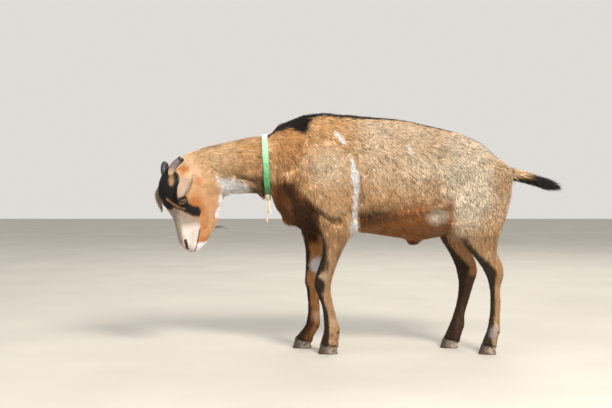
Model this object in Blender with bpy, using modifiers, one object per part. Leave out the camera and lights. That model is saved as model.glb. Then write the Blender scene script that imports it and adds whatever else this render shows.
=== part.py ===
"""A goat 58 cm tall at the withers, standing with its head hung low, in a collar that is tied with twine.

Frame: metres, +Z up, floor at Z = 0. The goat faces -X and its left side is on -Y. It is drawn about its
shoulder and shifted at the end, so that the origin is the bottom centre of its bounding box. The flesh is
lofts through named stations and rounded muscles, fused by a voxel Remesh and parted again by thin saws.
The solids follow the outside of the coat. Each foot has two claws with flat soles on the floor.
"""

import math

import bmesh
import bpy
import numpy as np
from mathutils import Matrix, Vector

GAP = 0.0003  # width of every saw cut and clearance of every fit
VOXEL = 0.0035  # size of the Remesh voxels that fuse the flesh
SMOOTHING = 5  # passes that soften the creases between the fused forms
HEAD_TRIANGLES, LEG_TRIANGLES, TRUNK_TRIANGLES = 1500, 1150, 1000  # what the fused flesh is thinned to
RING_POINTS = 32  # points round each loft
LOFT_STEP = 0.008  # spacing of the rings along a loft
LEG_TOP = 0.27  # height below which only the legs reach
SHARP_ANGLE = math.radians(50)
LEFT, RIGHT = -1, 1  # sides of the body, as the sign of Y

# The head's own axes: along from the poll to the muzzle, up out of the forehead, out to the goat's left
POLL = Vector((-0.334, -0.047, 0.4651))
HEAD_TUCK = math.radians(5)  # how far the muzzle is tucked in from straight down
HEAD_TURN = math.radians(30)  # how far the face is turned to the goat's left
HEAD_ALONG = Vector((math.sin(HEAD_TUCK), 0, -math.cos(HEAD_TUCK)))
HEAD_TURNING = Matrix.Rotation(-HEAD_TURN, 3, HEAD_ALONG)
HEAD_UP = HEAD_TURNING @ Vector((-math.cos(HEAD_TUCK), 0, -math.sin(HEAD_TUCK)))
HEAD_OUT = HEAD_UP.cross(HEAD_ALONG)
HEAD_FRAME = Matrix.Translation(POLL) @ Matrix((HEAD_ALONG, HEAD_OUT, HEAD_UP)).transposed().to_4x4()

TAIL_ROOT = Vector((0.462, 0, 0.436))
TAIL_DROOP = math.radians(16)  # how far the tail falls below level
TAIL_FRAME = Matrix.Translation(TAIL_ROOT) @ Matrix.Rotation(TAIL_DROOP, 4, "Y")
BODY_FRAME = Matrix.Identity(4)

# Stations along a body part: place, low edge, high edge, level of the widest line, half width, sideways
# shift, roundness of the lower and of the upper half (2 is an ellipse, less is a ridge, more is boxy)
TRUNK = (
    (-0.130, 0.420, 0.505, 0.460, 0.034, 0, 2.0, 2.0),
    (-0.105, 0.362, 0.539, 0.445, 0.059, 0, 2.0, 2.0),
    (-0.070, 0.318, 0.560, 0.435, 0.070, 0, 2.0, 1.8),
    (-0.020, 0.291, 0.578, 0.425, 0.077, 0, 2.0, 1.6),
    (0.030, 0.288, 0.581, 0.420, 0.081, 0, 2.1, 1.5),
    (0.085, 0.292, 0.576, 0.415, 0.090, 0, 2.2, 1.6),
    (0.145, 0.285, 0.570, 0.405, 0.103, 0, 2.3, 1.8),
    (0.210, 0.275, 0.563, 0.398, 0.113, 0, 2.3, 1.9),
    (0.265, 0.272, 0.551, 0.398, 0.111, 0, 2.3, 1.9),
    (0.310, 0.284, 0.541, 0.410, 0.099, 0, 2.2, 1.9),
    (0.355, 0.320, 0.527, 0.430, 0.084, 0, 2.0, 1.9),
    (0.400, 0.365, 0.505, 0.440, 0.070, 0, 2.0, 1.9),
    (0.440, 0.392, 0.471, 0.435, 0.048, 0, 2.0, 2.0),
    (0.464, 0.414, 0.444, 0.430, 0.022, 0, 2.0, 2.0),
)
NECK = (
    (-0.320, 0.390, 0.479, 0.434, 0.030, -0.046, 2.0, 2.0),
    (-0.270, 0.378, 0.496, 0.439, 0.041, -0.036, 2.0, 2.0),
    (-0.220, 0.379, 0.508, 0.445, 0.043, -0.024, 2.0, 2.0),
    (-0.170, 0.384, 0.519, 0.453, 0.046, -0.011, 2.0, 2.0),
    (-0.120, 0.383, 0.528, 0.452, 0.053, -0.003, 2.0, 2.0),
    (-0.080, 0.365, 0.547, 0.450, 0.061, 0.000, 2.0, 2.0),
    (-0.040, 0.360, 0.557, 0.450, 0.066, 0.000, 2.0, 2.0),
)
HEAD = (
    (-0.004, -0.046, 0.004, -0.018, 0.022, 0, 2.0, 2.2),
    (0.010, -0.066, 0.021, -0.010, 0.036, 0, 2.0, 2.3),
    (0.032, -0.086, 0.037, 0.002, 0.043, 0, 1.9, 2.4),
    (0.062, -0.100, 0.048, 0.008, 0.047, 0, 1.8, 2.5),
    (0.092, -0.106, 0.0445, 0.008, 0.047, 0, 1.8, 2.5),
    (0.115, -0.105, 0.032, 0.002, 0.041, 0, 1.8, 2.4),
    (0.137, -0.100, 0.0215, -0.012, 0.035, 0, 1.9, 2.2),
    (0.166, -0.088, 0.016, -0.024, 0.030, 0, 2.0, 2.2),
    (0.192, -0.066, 0.012, -0.022, 0.026, 0, 2.1, 2.3),
    (0.212, -0.047, 0.001, -0.021, 0.023, 0, 2.2, 2.3),
    (0.224, -0.034, -0.013, -0.023, 0.012, 0, 2.0, 2.0),
)
TAIL = (
    (-0.030, -0.016, 0.014, 0, 0.020, 0, 2.0, 2.0),
    (0.000, -0.019, 0.017, 0, 0.022, 0, 2.0, 2.0),
    (0.040, -0.016, 0.016, 0, 0.021, 0, 2.0, 2.0),
    (0.082, -0.015, 0.014, 0, 0.018, 0, 2.0, 2.0),
    (0.115, -0.012, 0.010, 0, 0.012, 0, 2.0, 2.0),
    (0.131, -0.007, 0.004, 0, 0.006, 0, 2.0, 2.0),
)

# Stations up a leg: height, front edge, rear edge, distance from the middle plane, half width
FRONT_LEFT = (
    (0.010, 0.006, 0.053, 0.050, 0.0160),
    (0.030, 0.010, 0.055, 0.050, 0.0165),
    (0.056, 0.018, 0.058, 0.050, 0.0180),
    (0.077, 0.017, 0.053, 0.050, 0.0155),
    (0.115, 0.012, 0.043, 0.051, 0.0132),
    (0.138, 0.004, 0.038, 0.052, 0.0150),
    (0.160, -0.004, 0.036, 0.053, 0.0175),
    (0.185, -0.003, 0.041, 0.054, 0.0180),
    (0.221, 0.008, 0.053, 0.056, 0.0190),
    (0.258, 0.014, 0.069, 0.058, 0.0230),
    (0.290, 0.008, 0.084, 0.060, 0.0270),
    (0.340, -0.012, 0.094, 0.062, 0.0290),
    (0.400, -0.030, 0.080, 0.058, 0.0280),
    (0.460, -0.020, 0.060, 0.048, 0.0260),
)
FRONT_RIGHT = (
    (0.010, -0.057, -0.012, 0.050, 0.0160),
    (0.028, -0.050, -0.004, 0.050, 0.0165),
    (0.056, -0.027, 0.010, 0.050, 0.0180),
    (0.077, -0.022, 0.012, 0.050, 0.0155),
    (0.110, -0.021, 0.010, 0.051, 0.0132),
    (0.138, -0.023, 0.012, 0.052, 0.0150),
    (0.160, -0.027, 0.015, 0.053, 0.0175),
    (0.185, -0.027, 0.018, 0.054, 0.0180),
    (0.221, -0.026, 0.024, 0.056, 0.0190),
    (0.258, -0.030, 0.037, 0.058, 0.0230),
    (0.290, -0.037, 0.054, 0.060, 0.0270),
    (0.340, -0.044, 0.072, 0.062, 0.0290),
    (0.400, -0.044, 0.070, 0.058, 0.0280),
    (0.460, -0.025, 0.055, 0.048, 0.0260),
)
HIND_LEFT = (
    (0.010, 0.391, 0.432, 0.055, 0.0155),
    (0.030, 0.398, 0.435, 0.055, 0.0160),
    (0.058, 0.409, 0.441, 0.055, 0.0175),
    (0.080, 0.413, 0.441, 0.055, 0.0145),
    (0.120, 0.416, 0.443, 0.055, 0.0132),
    (0.160, 0.414, 0.442, 0.056, 0.0150),
    (0.190, 0.405, 0.450, 0.057, 0.0180),
    (0.212, 0.392, 0.448, 0.058, 0.0175),
    (0.242, 0.369, 0.435, 0.060, 0.0210),
    (0.280, 0.336, 0.438, 0.062, 0.0280),
    (0.315, 0.307, 0.450, 0.063, 0.0330),
    (0.350, 0.298, 0.462, 0.062, 0.0360),
    (0.400, 0.318, 0.470, 0.056, 0.0370),
    (0.450, 0.352, 0.462, 0.046, 0.0350),
    (0.472, 0.376, 0.430, 0.038, 0.0260),
)
HIND_RIGHT = (
    (0.010, 0.311, 0.354, 0.055, 0.0155),
    (0.030, 0.319, 0.363, 0.055, 0.0160),
    (0.058, 0.332, 0.370, 0.055, 0.0175),
    (0.080, 0.340, 0.371, 0.055, 0.0145),
    (0.120, 0.350, 0.382, 0.055, 0.0132),
    (0.160, 0.354, 0.394, 0.056, 0.0150),
    (0.190, 0.349, 0.403, 0.057, 0.0180),
    (0.212, 0.342, 0.400, 0.058, 0.0175),
    (0.242, 0.327, 0.389, 0.060, 0.0210),
    (0.280, 0.303, 0.403, 0.062, 0.0280),
    (0.315, 0.290, 0.430, 0.063, 0.0330),
    (0.350, 0.289, 0.452, 0.062, 0.0360),
    (0.400, 0.315, 0.468, 0.056, 0.0370),
    (0.450, 0.352, 0.462, 0.046, 0.0350),
    (0.472, 0.376, 0.430, 0.038, 0.0260),
)

# Muscles and bone ends: centre and half axes. The paired ones are mirrored to the other side.
HEAD_BULGES = {
    "brow": ((0.088, 0.038, 0.017), (0.025, 0.0155, 0.018)),
    "cheek": ((0.088, 0.022, -0.066), (0.040, 0.017, 0.044)),
    "lips": ((0.200, 0.010, -0.012), (0.020, 0.016, 0.020)),
    "chin": ((0.196, 0.004, -0.045), (0.019, 0.015, 0.014)),
}
PAIRED_BULGES = {
    "shoulder": ((0.015, 0.052, 0.420), (0.078, 0.029, 0.092)),
    "hip": ((0.375, 0.052, 0.432), (0.070, 0.032, 0.052)),
}
SINGLE_BULGES = {
    "elbow_left": ((0.078, -0.062, 0.315), (0.020, 0.020, 0.026)),
    "elbow_right": ((0.056, 0.062, 0.315), (0.020, 0.020, 0.026)),
    "brisket": ((-0.060, 0, 0.346), (0.031, 0.040, 0.036)),
    "throat_lump": ((-0.137, -0.008, 0.380), (0.009, 0.008, 0.009)),
    "sheath": ((0.236, 0, 0.270), (0.018, 0.011, 0.013)),
}

EYE_CENTRE = (0.098, 0.0405, 0.0135)  # along, out and up in the head
EYE_RADIUS = 0.0125
HORN_ROUTES = {  # the right horn is the shorter
    LEFT: ((0.046, 0.017, 0.012), (0.031, 0.020, 0.024), (0.012, 0.026, 0.018), (-0.005, 0.036, -0.0015)),
    RIGHT: ((0.046, 0.017, 0.012), (0.031, 0.019, 0.024), (0.016, 0.022, 0.025), (0.003, 0.027, 0.016)),
}
HORN_RADII = (0.0110, 0.0108, 0.0098, 0.0088)
HORN_FLATNESS = 0.85  # its thickness across the head, as a share of that fore and aft
HORN_RING_SWELL = 1.07
EAR_WIDTH = 0.037
EAR_THICKNESS = 0.0045
EAR_TIP = 0.10  # width of the tip as a share of the whole
EAR_HOLLOW = 0.30  # how far the edges curl up, as a share of half the width
EAR_ROUTES = {
    LEFT: ((0.044, 0.036, -0.016), (0.055, 0.060, 0.000), (0.071, 0.073, 0.020), (0.0905, 0.080, 0.041)),
    RIGHT: ((0.044, 0.036, -0.016), (0.053, 0.060, 0.004), (0.078, 0.073, 0.0225), (0.120, 0.066, 0.0215)),
}
EAR_FACINGS = {LEFT: (-0.55, 0.80, 0.25), RIGHT: (-0.45, 0.70, 0.55)}  # where the hollow of the ear looks

COLLAR_TOP = -0.1245  # where the collar crosses the top of the neck
COLLAR_BOTTOM = -0.1160  # where it crosses the throat
COLLAR_WIDTH = 0.015
COLLAR_THICKNESS = 0.003
COLLAR_SINK = -0.005  # how far its blank reaches into the flesh that is cut from it
COLLAR_SPOTS = 26  # corners round the strap
KNOT_CENTRE = (-0.1160, -0.019, 0.3780)
KNOT_RADII = (0.0085, 0.0095, 0.0085)
TWINE_RADIUS = 0.002
TWINE_ENDS = {  # each route starts at the knot
    "twine_end_long": ((-0.1190, -0.020, 0.3685), (-0.1196, -0.021, 0.3600), (-0.1188, -0.022, 0.3500),
                       (-0.1172, -0.023, 0.3390), (-0.1176, -0.023, 0.3270), (-0.1190, -0.022, 0.3150)),
    "twine_end_short": ((-0.1130, -0.024, 0.3690), (-0.1122, -0.028, 0.3620), (-0.1124, -0.031, 0.3530),
                        (-0.1108, -0.033, 0.3440), (-0.1085, -0.033, 0.3350)),
}

CORONET = 0.024  # height of the top of the claws at the toe
CORONET_FALL = 0.008  # how much lower it is at the heel
CLAW_WIDTH = 0.0150
CLAW_LEAN = 0.007  # how far the toe wall leans back
CLAW_SPLIT = 0.0008  # half the gap between a foot's two claws
CLAW_POINTS = 12  # corners round a claw
FEET = {  # toe and heel of the sole, distance from the middle plane
    "front_left": (0.004, 0.052, 0.050),
    "front_right": (-0.058, -0.011, 0.050),
    "hind_left": (0.389, 0.432, 0.055),
    "hind_right": (0.309, 0.354, 0.055),
}
LEGS = {
    "front_left": (FRONT_LEFT, LEFT),
    "front_right": (FRONT_RIGHT, RIGHT),
    "hind_left": (HIND_LEFT, LEFT),
    "hind_right": (HIND_RIGHT, RIGHT),
}
# Where each leg leaves the trunk: middle of the arched saw, half its length, its crown, where its arch starts
LEG_ARCHES = {
    "front_left": (0.036, 0.066, 0.372, 0.300),
    "front_right": (0.006, 0.066, 0.372, 0.300),
    "hind_left": (0.392, 0.110, 0.452, 0.330),
    "hind_right": (0.382, 0.110, 0.452, 0.330),
}
JOINT_LEVELS = {"front_left": 0.170, "front_right": 0.170, "hind_left": 0.206, "hind_right": 0.206}
THROAT_CUT = Vector((-0.2215, -0.024, 0.372))  # the head leaves the neck between these two points
NAPE_CUT = Vector((-0.299, -0.040, 0.500))
HEAD_CUT_ACROSS = Vector((0.24, -0.97, 0)).normalized()
NECK_CUT = -0.1045  # the neck leaves the trunk here
TAIL_CUT = 0.004  # the tail leaves the trunk this far along it
ARCH_INNER = 0.023  # the arched saws reach in to this distance from the middle plane
ARCH_OUTER = 0.160
ARCH_STEPS = 8

COLOURS = {  # name: base colour and roughness
    "coat_tan": ((0.42, 0.20, 0.07), 0.8),
    "coat_black": ((0.02, 0.015, 0.012), 0.8),
    "ear_skin": ((0.45, 0.25, 0.20), 0.7),
    "eye_amber": ((0.20, 0.10, 0.03), 0.1),
    "horn_grey": ((0.15, 0.12, 0.11), 0.5),
    "hoof_black": ((0.05, 0.04, 0.035), 0.5),
    "strap_green": ((0.05, 0.30, 0.10), 0.7),
    "twine_cream": ((0.60, 0.50, 0.33), 0.9),
}


def clear_scene():
    for thing in list(bpy.data.objects):
        bpy.data.objects.remove(thing, do_unlink=True)


def new_collection(name):
    collection = bpy.data.collections.new(name)
    bpy.context.scene.collection.children.link(collection)
    return collection


def material(name):
    found = bpy.data.materials.get(name)
    if found:
        return found
    colour, roughness = COLOURS[name]
    found = bpy.data.materials.new(name)
    found.use_nodes = True
    shader = found.node_tree.nodes["Principled BSDF"]
    shader.inputs["Base Color"].default_value = (*colour, 1)
    shader.inputs["Roughness"].default_value = roughness
    shader.inputs["Metallic"].default_value = 0
    return found


def object_from(mesh_builder, name, collection):
    """An object whose mesh is what the bmesh holds, with its faces turned outwards."""
    bmesh.ops.recalc_face_normals(mesh_builder, faces=mesh_builder.faces)
    mesh = bpy.data.meshes.new(name)
    mesh_builder.to_mesh(mesh)
    mesh_builder.free()
    thing = bpy.data.objects.new(name, mesh)
    collection.objects.link(thing)
    return thing


def evaluated_copy(thing, name, collection):
    """A plain mesh of what an object's modifiers make of it."""
    graph = bpy.context.evaluated_depsgraph_get()
    mesh = bpy.data.meshes.new_from_object(thing.evaluated_get(graph))
    copy = bpy.data.objects.new(name, mesh)
    collection.objects.link(copy)
    return copy


def apply_modifiers(thing):
    graph = bpy.context.evaluated_depsgraph_get()
    mesh = bpy.data.meshes.new_from_object(thing.evaluated_get(graph))
    thing.modifiers.clear()
    thing.data = mesh


def swollen(thing, collection):
    """A copy that stands a gap's width proud all round, to cut its neighbours with."""
    grown = evaluated_copy(thing, thing.name + "_grown", collection)
    swell = grown.modifiers.new("swell", "DISPLACE")
    swell.strength = GAP
    swell.mid_level = 0
    apply_modifiers(grown)
    return hide_cutter(grown)


def cut_away(thing, cutter):
    """Take the cutter's space from the thing and keep the result as a plain mesh."""
    modifier = thing.modifiers.new("cut", "BOOLEAN")
    modifier.object = cutter
    modifier.operation = "DIFFERENCE"
    modifier.solver = "EXACT"
    apply_modifiers(thing)


def hide_cutter(thing):
    thing.hide_render = True
    thing.display_type = "WIRE"
    return thing


def smooth_rows(stations, at):
    """The stations' columns at these places, on a smooth curve through the stations."""
    table = np.array(stations)
    place = table[:, 0]
    at = np.asarray(at, dtype=float)
    slopes = np.gradient(table, place, axis=0)
    index = np.clip(np.searchsorted(place, at, side="right") - 1, 0, len(place) - 2)
    width = (place[index + 1] - place[index])[:, None]
    t = ((at - place[index]) / width[:, 0])[:, None]
    low, high = table[index], table[index + 1]
    low_slope, high_slope = slopes[index] * width, slopes[index + 1] * width
    return (low * (1 + 2 * t) * (1 - t) ** 2 + low_slope * t * (1 - t) ** 2
            + high * t * t * (3 - 2 * t) - high_slope * t * t * (1 - t))


def even_rows(stations, step):
    """The stations' columns at even places no further apart than the step."""
    first, last = stations[0][0], stations[-1][0]
    return smooth_rows(stations, np.linspace(first, last, int(math.ceil((last - first) / step)) + 1))


def rounded(angle, roundness):
    """A point of a unit superellipse at this angle, as its share across and its share up."""
    across, up = math.cos(angle), math.sin(angle)
    power = 2 / roundness
    return math.copysign(abs(across) ** power, across), math.copysign(abs(up) ** power, up)


def body_ring(station):
    """One cross section of the trunk, neck, head or tail, as points along, across and up."""
    place, low, high, widest, half_width, shift, low_round, high_round = station
    points = []
    for index in range(RING_POINTS):
        angle = 2 * math.pi * index / RING_POINTS
        upper = math.sin(angle) >= 0
        across, up = rounded(angle, high_round if upper else low_round)
        rise = up * (high - widest if upper else widest - low)
        points.append(Vector((place, shift + across * half_width, widest + rise)))
    return points


def leg_ring(station, side):
    height, front, rear, reach, half_width = station
    points = []
    for index in range(RING_POINTS):
        angle = 2 * math.pi * index / RING_POINTS
        along = (front + rear) / 2 + math.cos(angle) * (rear - front) / 2
        points.append(Vector((along, side * reach + math.sin(angle) * half_width, height)))
    return points


def loft(rings, name, collection):
    """A closed skin through rings of equally many points."""
    builder = bmesh.new()
    loops = [[builder.verts.new(point) for point in ring] for ring in rings]
    for first, second in zip(loops, loops[1:]):
        for index in range(len(first)):
            following = (index + 1) % len(first)
            builder.faces.new((first[index], first[following], second[following], second[index]))
    builder.faces.new(loops[0])
    builder.faces.new(loops[-1])
    return object_from(builder, name, collection)


def framed_loft(stations, frame, name, collection):
    rings = [[frame @ point for point in body_ring(station)] for station in even_rows(stations, LOFT_STEP)]
    return loft(rings, name, collection)


def ball(centre, radii, frame, name, collection, segments=24):
    builder = bmesh.new()
    bmesh.ops.create_uvsphere(builder, u_segments=segments, v_segments=segments // 2, radius=1)
    shape = frame @ Matrix.Translation(centre) @ Matrix.Diagonal((*radii, 1))
    bmesh.ops.transform(builder, matrix=shape, verts=builder.verts)
    return object_from(builder, name, collection)


def box(centre, size, name, collection, turn=Matrix.Identity(4)):
    builder = bmesh.new()
    bmesh.ops.create_cube(builder, size=1)
    bmesh.ops.transform(builder, matrix=Matrix.Translation(centre) @ turn @ Matrix.Diagonal((*size, 1)),
                        verts=builder.verts)
    return object_from(builder, name, collection)


def mirrored(point):
    return (point[0], -point[1], point[2])


def raw_forms(collection):
    """The overlapping lofts and muscles that make the flesh."""
    forms = [
        framed_loft(TRUNK, BODY_FRAME, "trunk_form", collection),
        framed_loft(NECK, BODY_FRAME, "neck_form", collection),
        framed_loft(HEAD, HEAD_FRAME, "head_form", collection),
        framed_loft(TAIL, TAIL_FRAME, "tail_form", collection),
    ]
    for name, (stations, side) in LEGS.items():
        rings = [leg_ring(station, side) for station in even_rows(stations, LOFT_STEP)]
        forms.append(loft(rings, name + "_form", collection))
    for name, (centre, radii) in HEAD_BULGES.items():
        forms.append(ball(centre, radii, HEAD_FRAME, name + "_left_form", collection))
        forms.append(ball(mirrored(centre), radii, HEAD_FRAME, name + "_right_form", collection))
    for name, (centre, radii) in PAIRED_BULGES.items():
        forms.append(ball(centre, radii, BODY_FRAME, name + "_right_form", collection))
        forms.append(ball(mirrored(centre), radii, BODY_FRAME, name + "_left_form", collection))
    for name, (centre, radii) in SINGLE_BULGES.items():
        forms.append(ball(centre, radii, BODY_FRAME, name + "_form", collection))
    return forms


def in_head(point):
    return (point - POLL).dot(HEAD_ALONG) > -0.02 and point.x < POLL.x + 0.115


def in_leg(point):
    return point.z < LEG_TOP and not in_head(point)


def thin(thing, chosen, triangles):
    """Collapse the chosen part of a mesh to about this many triangles, and leave the rest."""
    group = thing.vertex_groups.new(name="thinning")
    inside = [vertex.index for vertex in thing.data.vertices if chosen(vertex.co)]
    group.add(inside, 1.0, "REPLACE")
    inside = set(inside)
    total, part = 0, 0
    for polygon in thing.data.polygons:
        count = len(polygon.vertices) - 2
        total += count
        part += count * inside.issuperset(polygon.vertices)
    collapse = thing.modifiers.new("thin", "DECIMATE")
    collapse.ratio = (total - part + triangles) / total
    collapse.vertex_group = group.name
    collapse.use_collapse_triangulate = True
    apply_modifiers(thing)
    thing.vertex_groups.clear()


def fused_flesh(collection):
    """The whole body as one skin: joined forms, remeshed, smoothed and thinned, least of all on the head."""
    forms = raw_forms(collection)
    builder = bmesh.new()
    for form in forms:
        builder.from_mesh(form.data)
        bpy.data.objects.remove(form, do_unlink=True)
    flesh = object_from(builder, "flesh", collection)
    remesh = flesh.modifiers.new("fuse", "REMESH")
    remesh.mode = "VOXEL"
    remesh.voxel_size = VOXEL
    smooth = flesh.modifiers.new("soften", "SMOOTH")
    smooth.factor = 0.5
    smooth.iterations = SMOOTHING
    apply_modifiers(flesh)

    thin(flesh, in_head, HEAD_TRIANGLES)
    thin(flesh, in_leg, LEG_TRIANGLES)
    thin(flesh, lambda point: not in_head(point) and not in_leg(point), TRUNK_TRIANGLES)
    return hide_cutter(flesh)


def arched_saw(name, collection):
    """A thin-walled arch that parts a whole leg from the trunk."""
    middle, half_length, crown, spring = LEG_ARCHES[name]
    side = LEGS[name][1]
    outline = [(middle + half_length, -0.02)]
    for step in range(ARCH_STEPS + 1):
        angle = math.pi * step / ARCH_STEPS
        outline.append((middle + half_length * math.cos(angle), spring + (crown - spring) * math.sin(angle)))
    outline.append((middle - half_length, -0.02))
    rings = [[Vector((x, side * reach, z)) for x, z in outline] for reach in (ARCH_INNER, ARCH_OUTER)]
    saw = loft(rings, name + "_saw", collection)
    wall = saw.modifiers.new("wall", "SOLIDIFY")
    wall.thickness = GAP
    wall.offset = 0
    wall.use_even_offset = True
    apply_modifiers(saw)
    return hide_cutter(saw)


def saws(collection):
    """Every cut that parts the flesh into the head, neck, trunk, tail and legs."""
    cuts = [arched_saw(name, collection) for name in LEGS]
    for name, level in JOINT_LEVELS.items():
        stations, side = LEGS[name]
        front, rear, reach = (float(np.interp(level, [s[0] for s in stations], [s[k] for s in stations]))
                              for k in (1, 2, 3))
        size = (rear - front + 0.03, 2 * (reach - ARCH_INNER) - 0.001, GAP)
        cuts.append(box(((front + rear) / 2, side * reach, level), size, name + "_joint_saw", collection))
    down = (THROAT_CUT - NAPE_CUT).normalized()
    turn = Matrix((HEAD_CUT_ACROSS, down, HEAD_CUT_ACROSS.cross(down))).transposed().to_4x4()
    cuts.append(box((THROAT_CUT + NAPE_CUT) / 2, (0.20, 0.20, GAP), "head_saw", collection, turn))
    cuts.append(box((NECK_CUT, 0, 0.45), (GAP, 0.24, 0.24), "neck_saw", collection))
    turn = TAIL_FRAME.to_3x3().to_4x4()
    middle = TAIL_FRAME @ Vector((TAIL_CUT, 0, 0))
    cuts.append(box(middle, (GAP, 0.09, 0.065), "tail_saw", collection, turn))
    return [hide_cutter(cut) for cut in cuts]


def foot_slope(name):
    """The plane of the coronet: a point on it at the toe, and its turn, lower at the heel."""
    toe, heel, reach = FEET[name]
    fall = math.atan2(CORONET_FALL, heel - toe)
    return Vector((toe, LEGS[name][1] * reach, CORONET)), Matrix.Rotation(fall, 4, "Y")


def trim_feet(flesh, collection):
    """Cut each leg off along its coronet, where the claws begin."""
    for name, (toe, heel, _) in FEET.items():
        start, turn = foot_slope(name)
        size = Vector((0.12, 0.05, 0.04))
        middle = start + turn @ Vector(((heel - toe) / 2, 0, GAP - size.z / 2))
        trimmer = hide_cutter(box(middle, size, name + "_trimmer", collection, turn))
        cut_away(flesh, trimmer)


def loose_pieces(thing):
    """The separate bodies of a mesh, each as a bmesh of its own."""
    whole = bmesh.new()
    whole.from_mesh(thing.data)
    left = set(whole.verts)
    bodies = []
    while left:
        reached = {left.pop()}
        edge_of_reach = list(reached)
        while edge_of_reach:
            neighbours = {edge.other_vert(vertex) for vertex in edge_of_reach for edge in vertex.link_edges}
            edge_of_reach = list(neighbours - reached)
            reached |= neighbours
        left -= reached
        members = {vertex.index for vertex in reached}
        body = whole.copy()
        strangers = [vertex for vertex in body.verts if vertex.index not in members]
        bmesh.ops.delete(body, geom=strangers, context="VERTS")
        bodies.append(body)
    whole.free()
    return bodies


def middle_of(builder):
    corners = [vertex.co for vertex in builder.verts]
    return sum(corners, Vector()) / len(corners)


def name_of(centre):
    """Which part of the body a piece is, from where its middle lies."""
    if centre.x > TAIL_ROOT.x + 0.02:
        return "tail"
    if centre.x < -0.104:
        return "head" if centre.x < -0.25 else "neck"
    if centre.z > 0.37:
        return "trunk"
    end = "front" if centre.x < 0.2 else "hind"
    side = "left" if centre.y < 0 else "right"
    leg = f"{end}_{side}"
    return f"leg_{leg}_{'upper' if centre.z > JOINT_LEVELS[leg] else 'lower'}"


def part_flesh(flesh, collection, cutters):
    """Saw the flesh and give each piece its name."""
    for saw in saws(cutters):
        cut_away(flesh, saw)
    named = {}
    for builder in loose_pieces(flesh):
        name = name_of(middle_of(builder))
        if name in named:
            raise RuntimeError(f"the saws left two pieces of {name}")
        piece = object_from(builder, name, collection)
        piece.data.materials.clear()
        piece.data.materials.append(material("coat_black" if name == "tail" else "coat_tan"))
        named[name] = piece
    return named


def route_frames(route, side, count, frame):
    """Points and directions at even steps along a smooth route that is given for the left side."""
    table = [(index, place, -side * out, up) for index, (place, out, up) in enumerate(route)]
    rows = smooth_rows(table, np.linspace(0, len(route) - 1, count))
    placed = [frame @ Vector(row[1:]) for row in rows]
    headings = []
    for index in range(len(placed)):
        before, after = placed[max(index - 1, 0)], placed[min(index + 1, len(placed) - 1)]
        headings.append((after - before).normalized())
    return placed, headings


def make_horn(side, collection):
    """A short horn that sweeps back over the poll, thicker at each ring of growth."""
    count = 13
    round_about = np.linspace(0, 2 * math.pi, 10, endpoint=False)
    centres, headings = route_frames(HORN_ROUTES[side], side, count, HEAD_FRAME)
    rings = []
    for index, (centre, heading) in enumerate(zip(centres, headings)):
        share = index / (count - 1)
        radius = float(np.interp(share, np.linspace(0, 1, len(HORN_RADII)), HORN_RADII))
        if index % 3 == 1:
            radius *= HORN_RING_SWELL
        first = heading.cross(HEAD_OUT).normalized()
        second = heading.cross(first)
        rings.append([centre + radius * (first * math.cos(angle) + second * HORN_FLATNESS * math.sin(angle))
                      for angle in round_about])
    return loft(rings, "horn_left" if side == LEFT else "horn_right", collection)


def make_ear(side, collection):
    """A hanging leaf-shaped ear, hollow on one face, that thins to its edges."""
    count = 8
    centres, headings = route_frames(EAR_ROUTES[side], side, count, HEAD_FRAME)
    place, out, up = EAR_FACINGS[side]
    facing = HEAD_FRAME.to_3x3() @ Vector((place, -side * out, up))
    rings = []
    for index, (centre, heading) in enumerate(zip(centres, headings)):
        share = index / (count - 1)
        half_width = EAR_WIDTH / 2 * min(1, max(EAR_TIP, (0.62 + 1.5 * share) * (1 - share ** 2.2)))
        normal = (facing - heading * facing.dot(heading)).normalized()
        across = normal.cross(heading)
        ring = []
        for face in (1, -1):
            for step in np.linspace(-1, 1, 6)[:-1]:
                spot = step * face
                hollow = (spot ** 2 - 0.4) * EAR_HOLLOW * half_width
                thick = face * EAR_THICKNESS / 2 * math.sqrt(max(0.0, 1 - spot ** 2))
                ring.append(centre + across * spot * half_width + normal * (hollow + thick))
        rings.append(ring)
    return loft(rings, "ear_left" if side == LEFT else "ear_right", collection)


def make_collar(collection):
    """A flat strap round the base of the neck. Its inner face lies in the flesh until that is cut away."""
    corners = ((-1, COLLAR_SINK), (1, COLLAR_SINK), (1, COLLAR_THICKNESS), (-1, COLLAR_THICKNESS))
    rings = []
    for index in range(COLLAR_SPOTS):
        angle = 2 * math.pi * index / COLLAR_SPOTS
        middle = COLLAR_BOTTOM + (COLLAR_TOP - COLLAR_BOTTOM) * (math.sin(angle) + 1) / 2
        ring = []
        for edge, depth in corners:
            place = middle + edge * COLLAR_WIDTH / 2
            _, low, high, widest, half_width, sideways, low_round, high_round = smooth_rows(NECK, [place])[0]
            upper = math.sin(angle) >= 0
            across, up = rounded(angle, high_round if upper else low_round)
            rise = up * ((high - widest if upper else widest - low) + depth)
            ring.append(Vector((place, sideways + across * (half_width + depth), widest + rise)))
        rings.append(ring)
    builder = bmesh.new()
    loops = [[builder.verts.new(point) for point in ring] for ring in rings]
    for index in range(COLLAR_SPOTS):
        first, second = loops[index], loops[(index + 1) % COLLAR_SPOTS]
        for corner in range(4):
            following = (corner + 1) % 4
            builder.faces.new((first[corner], first[following], second[following], second[corner]))
    return object_from(builder, "collar", collection)


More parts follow.
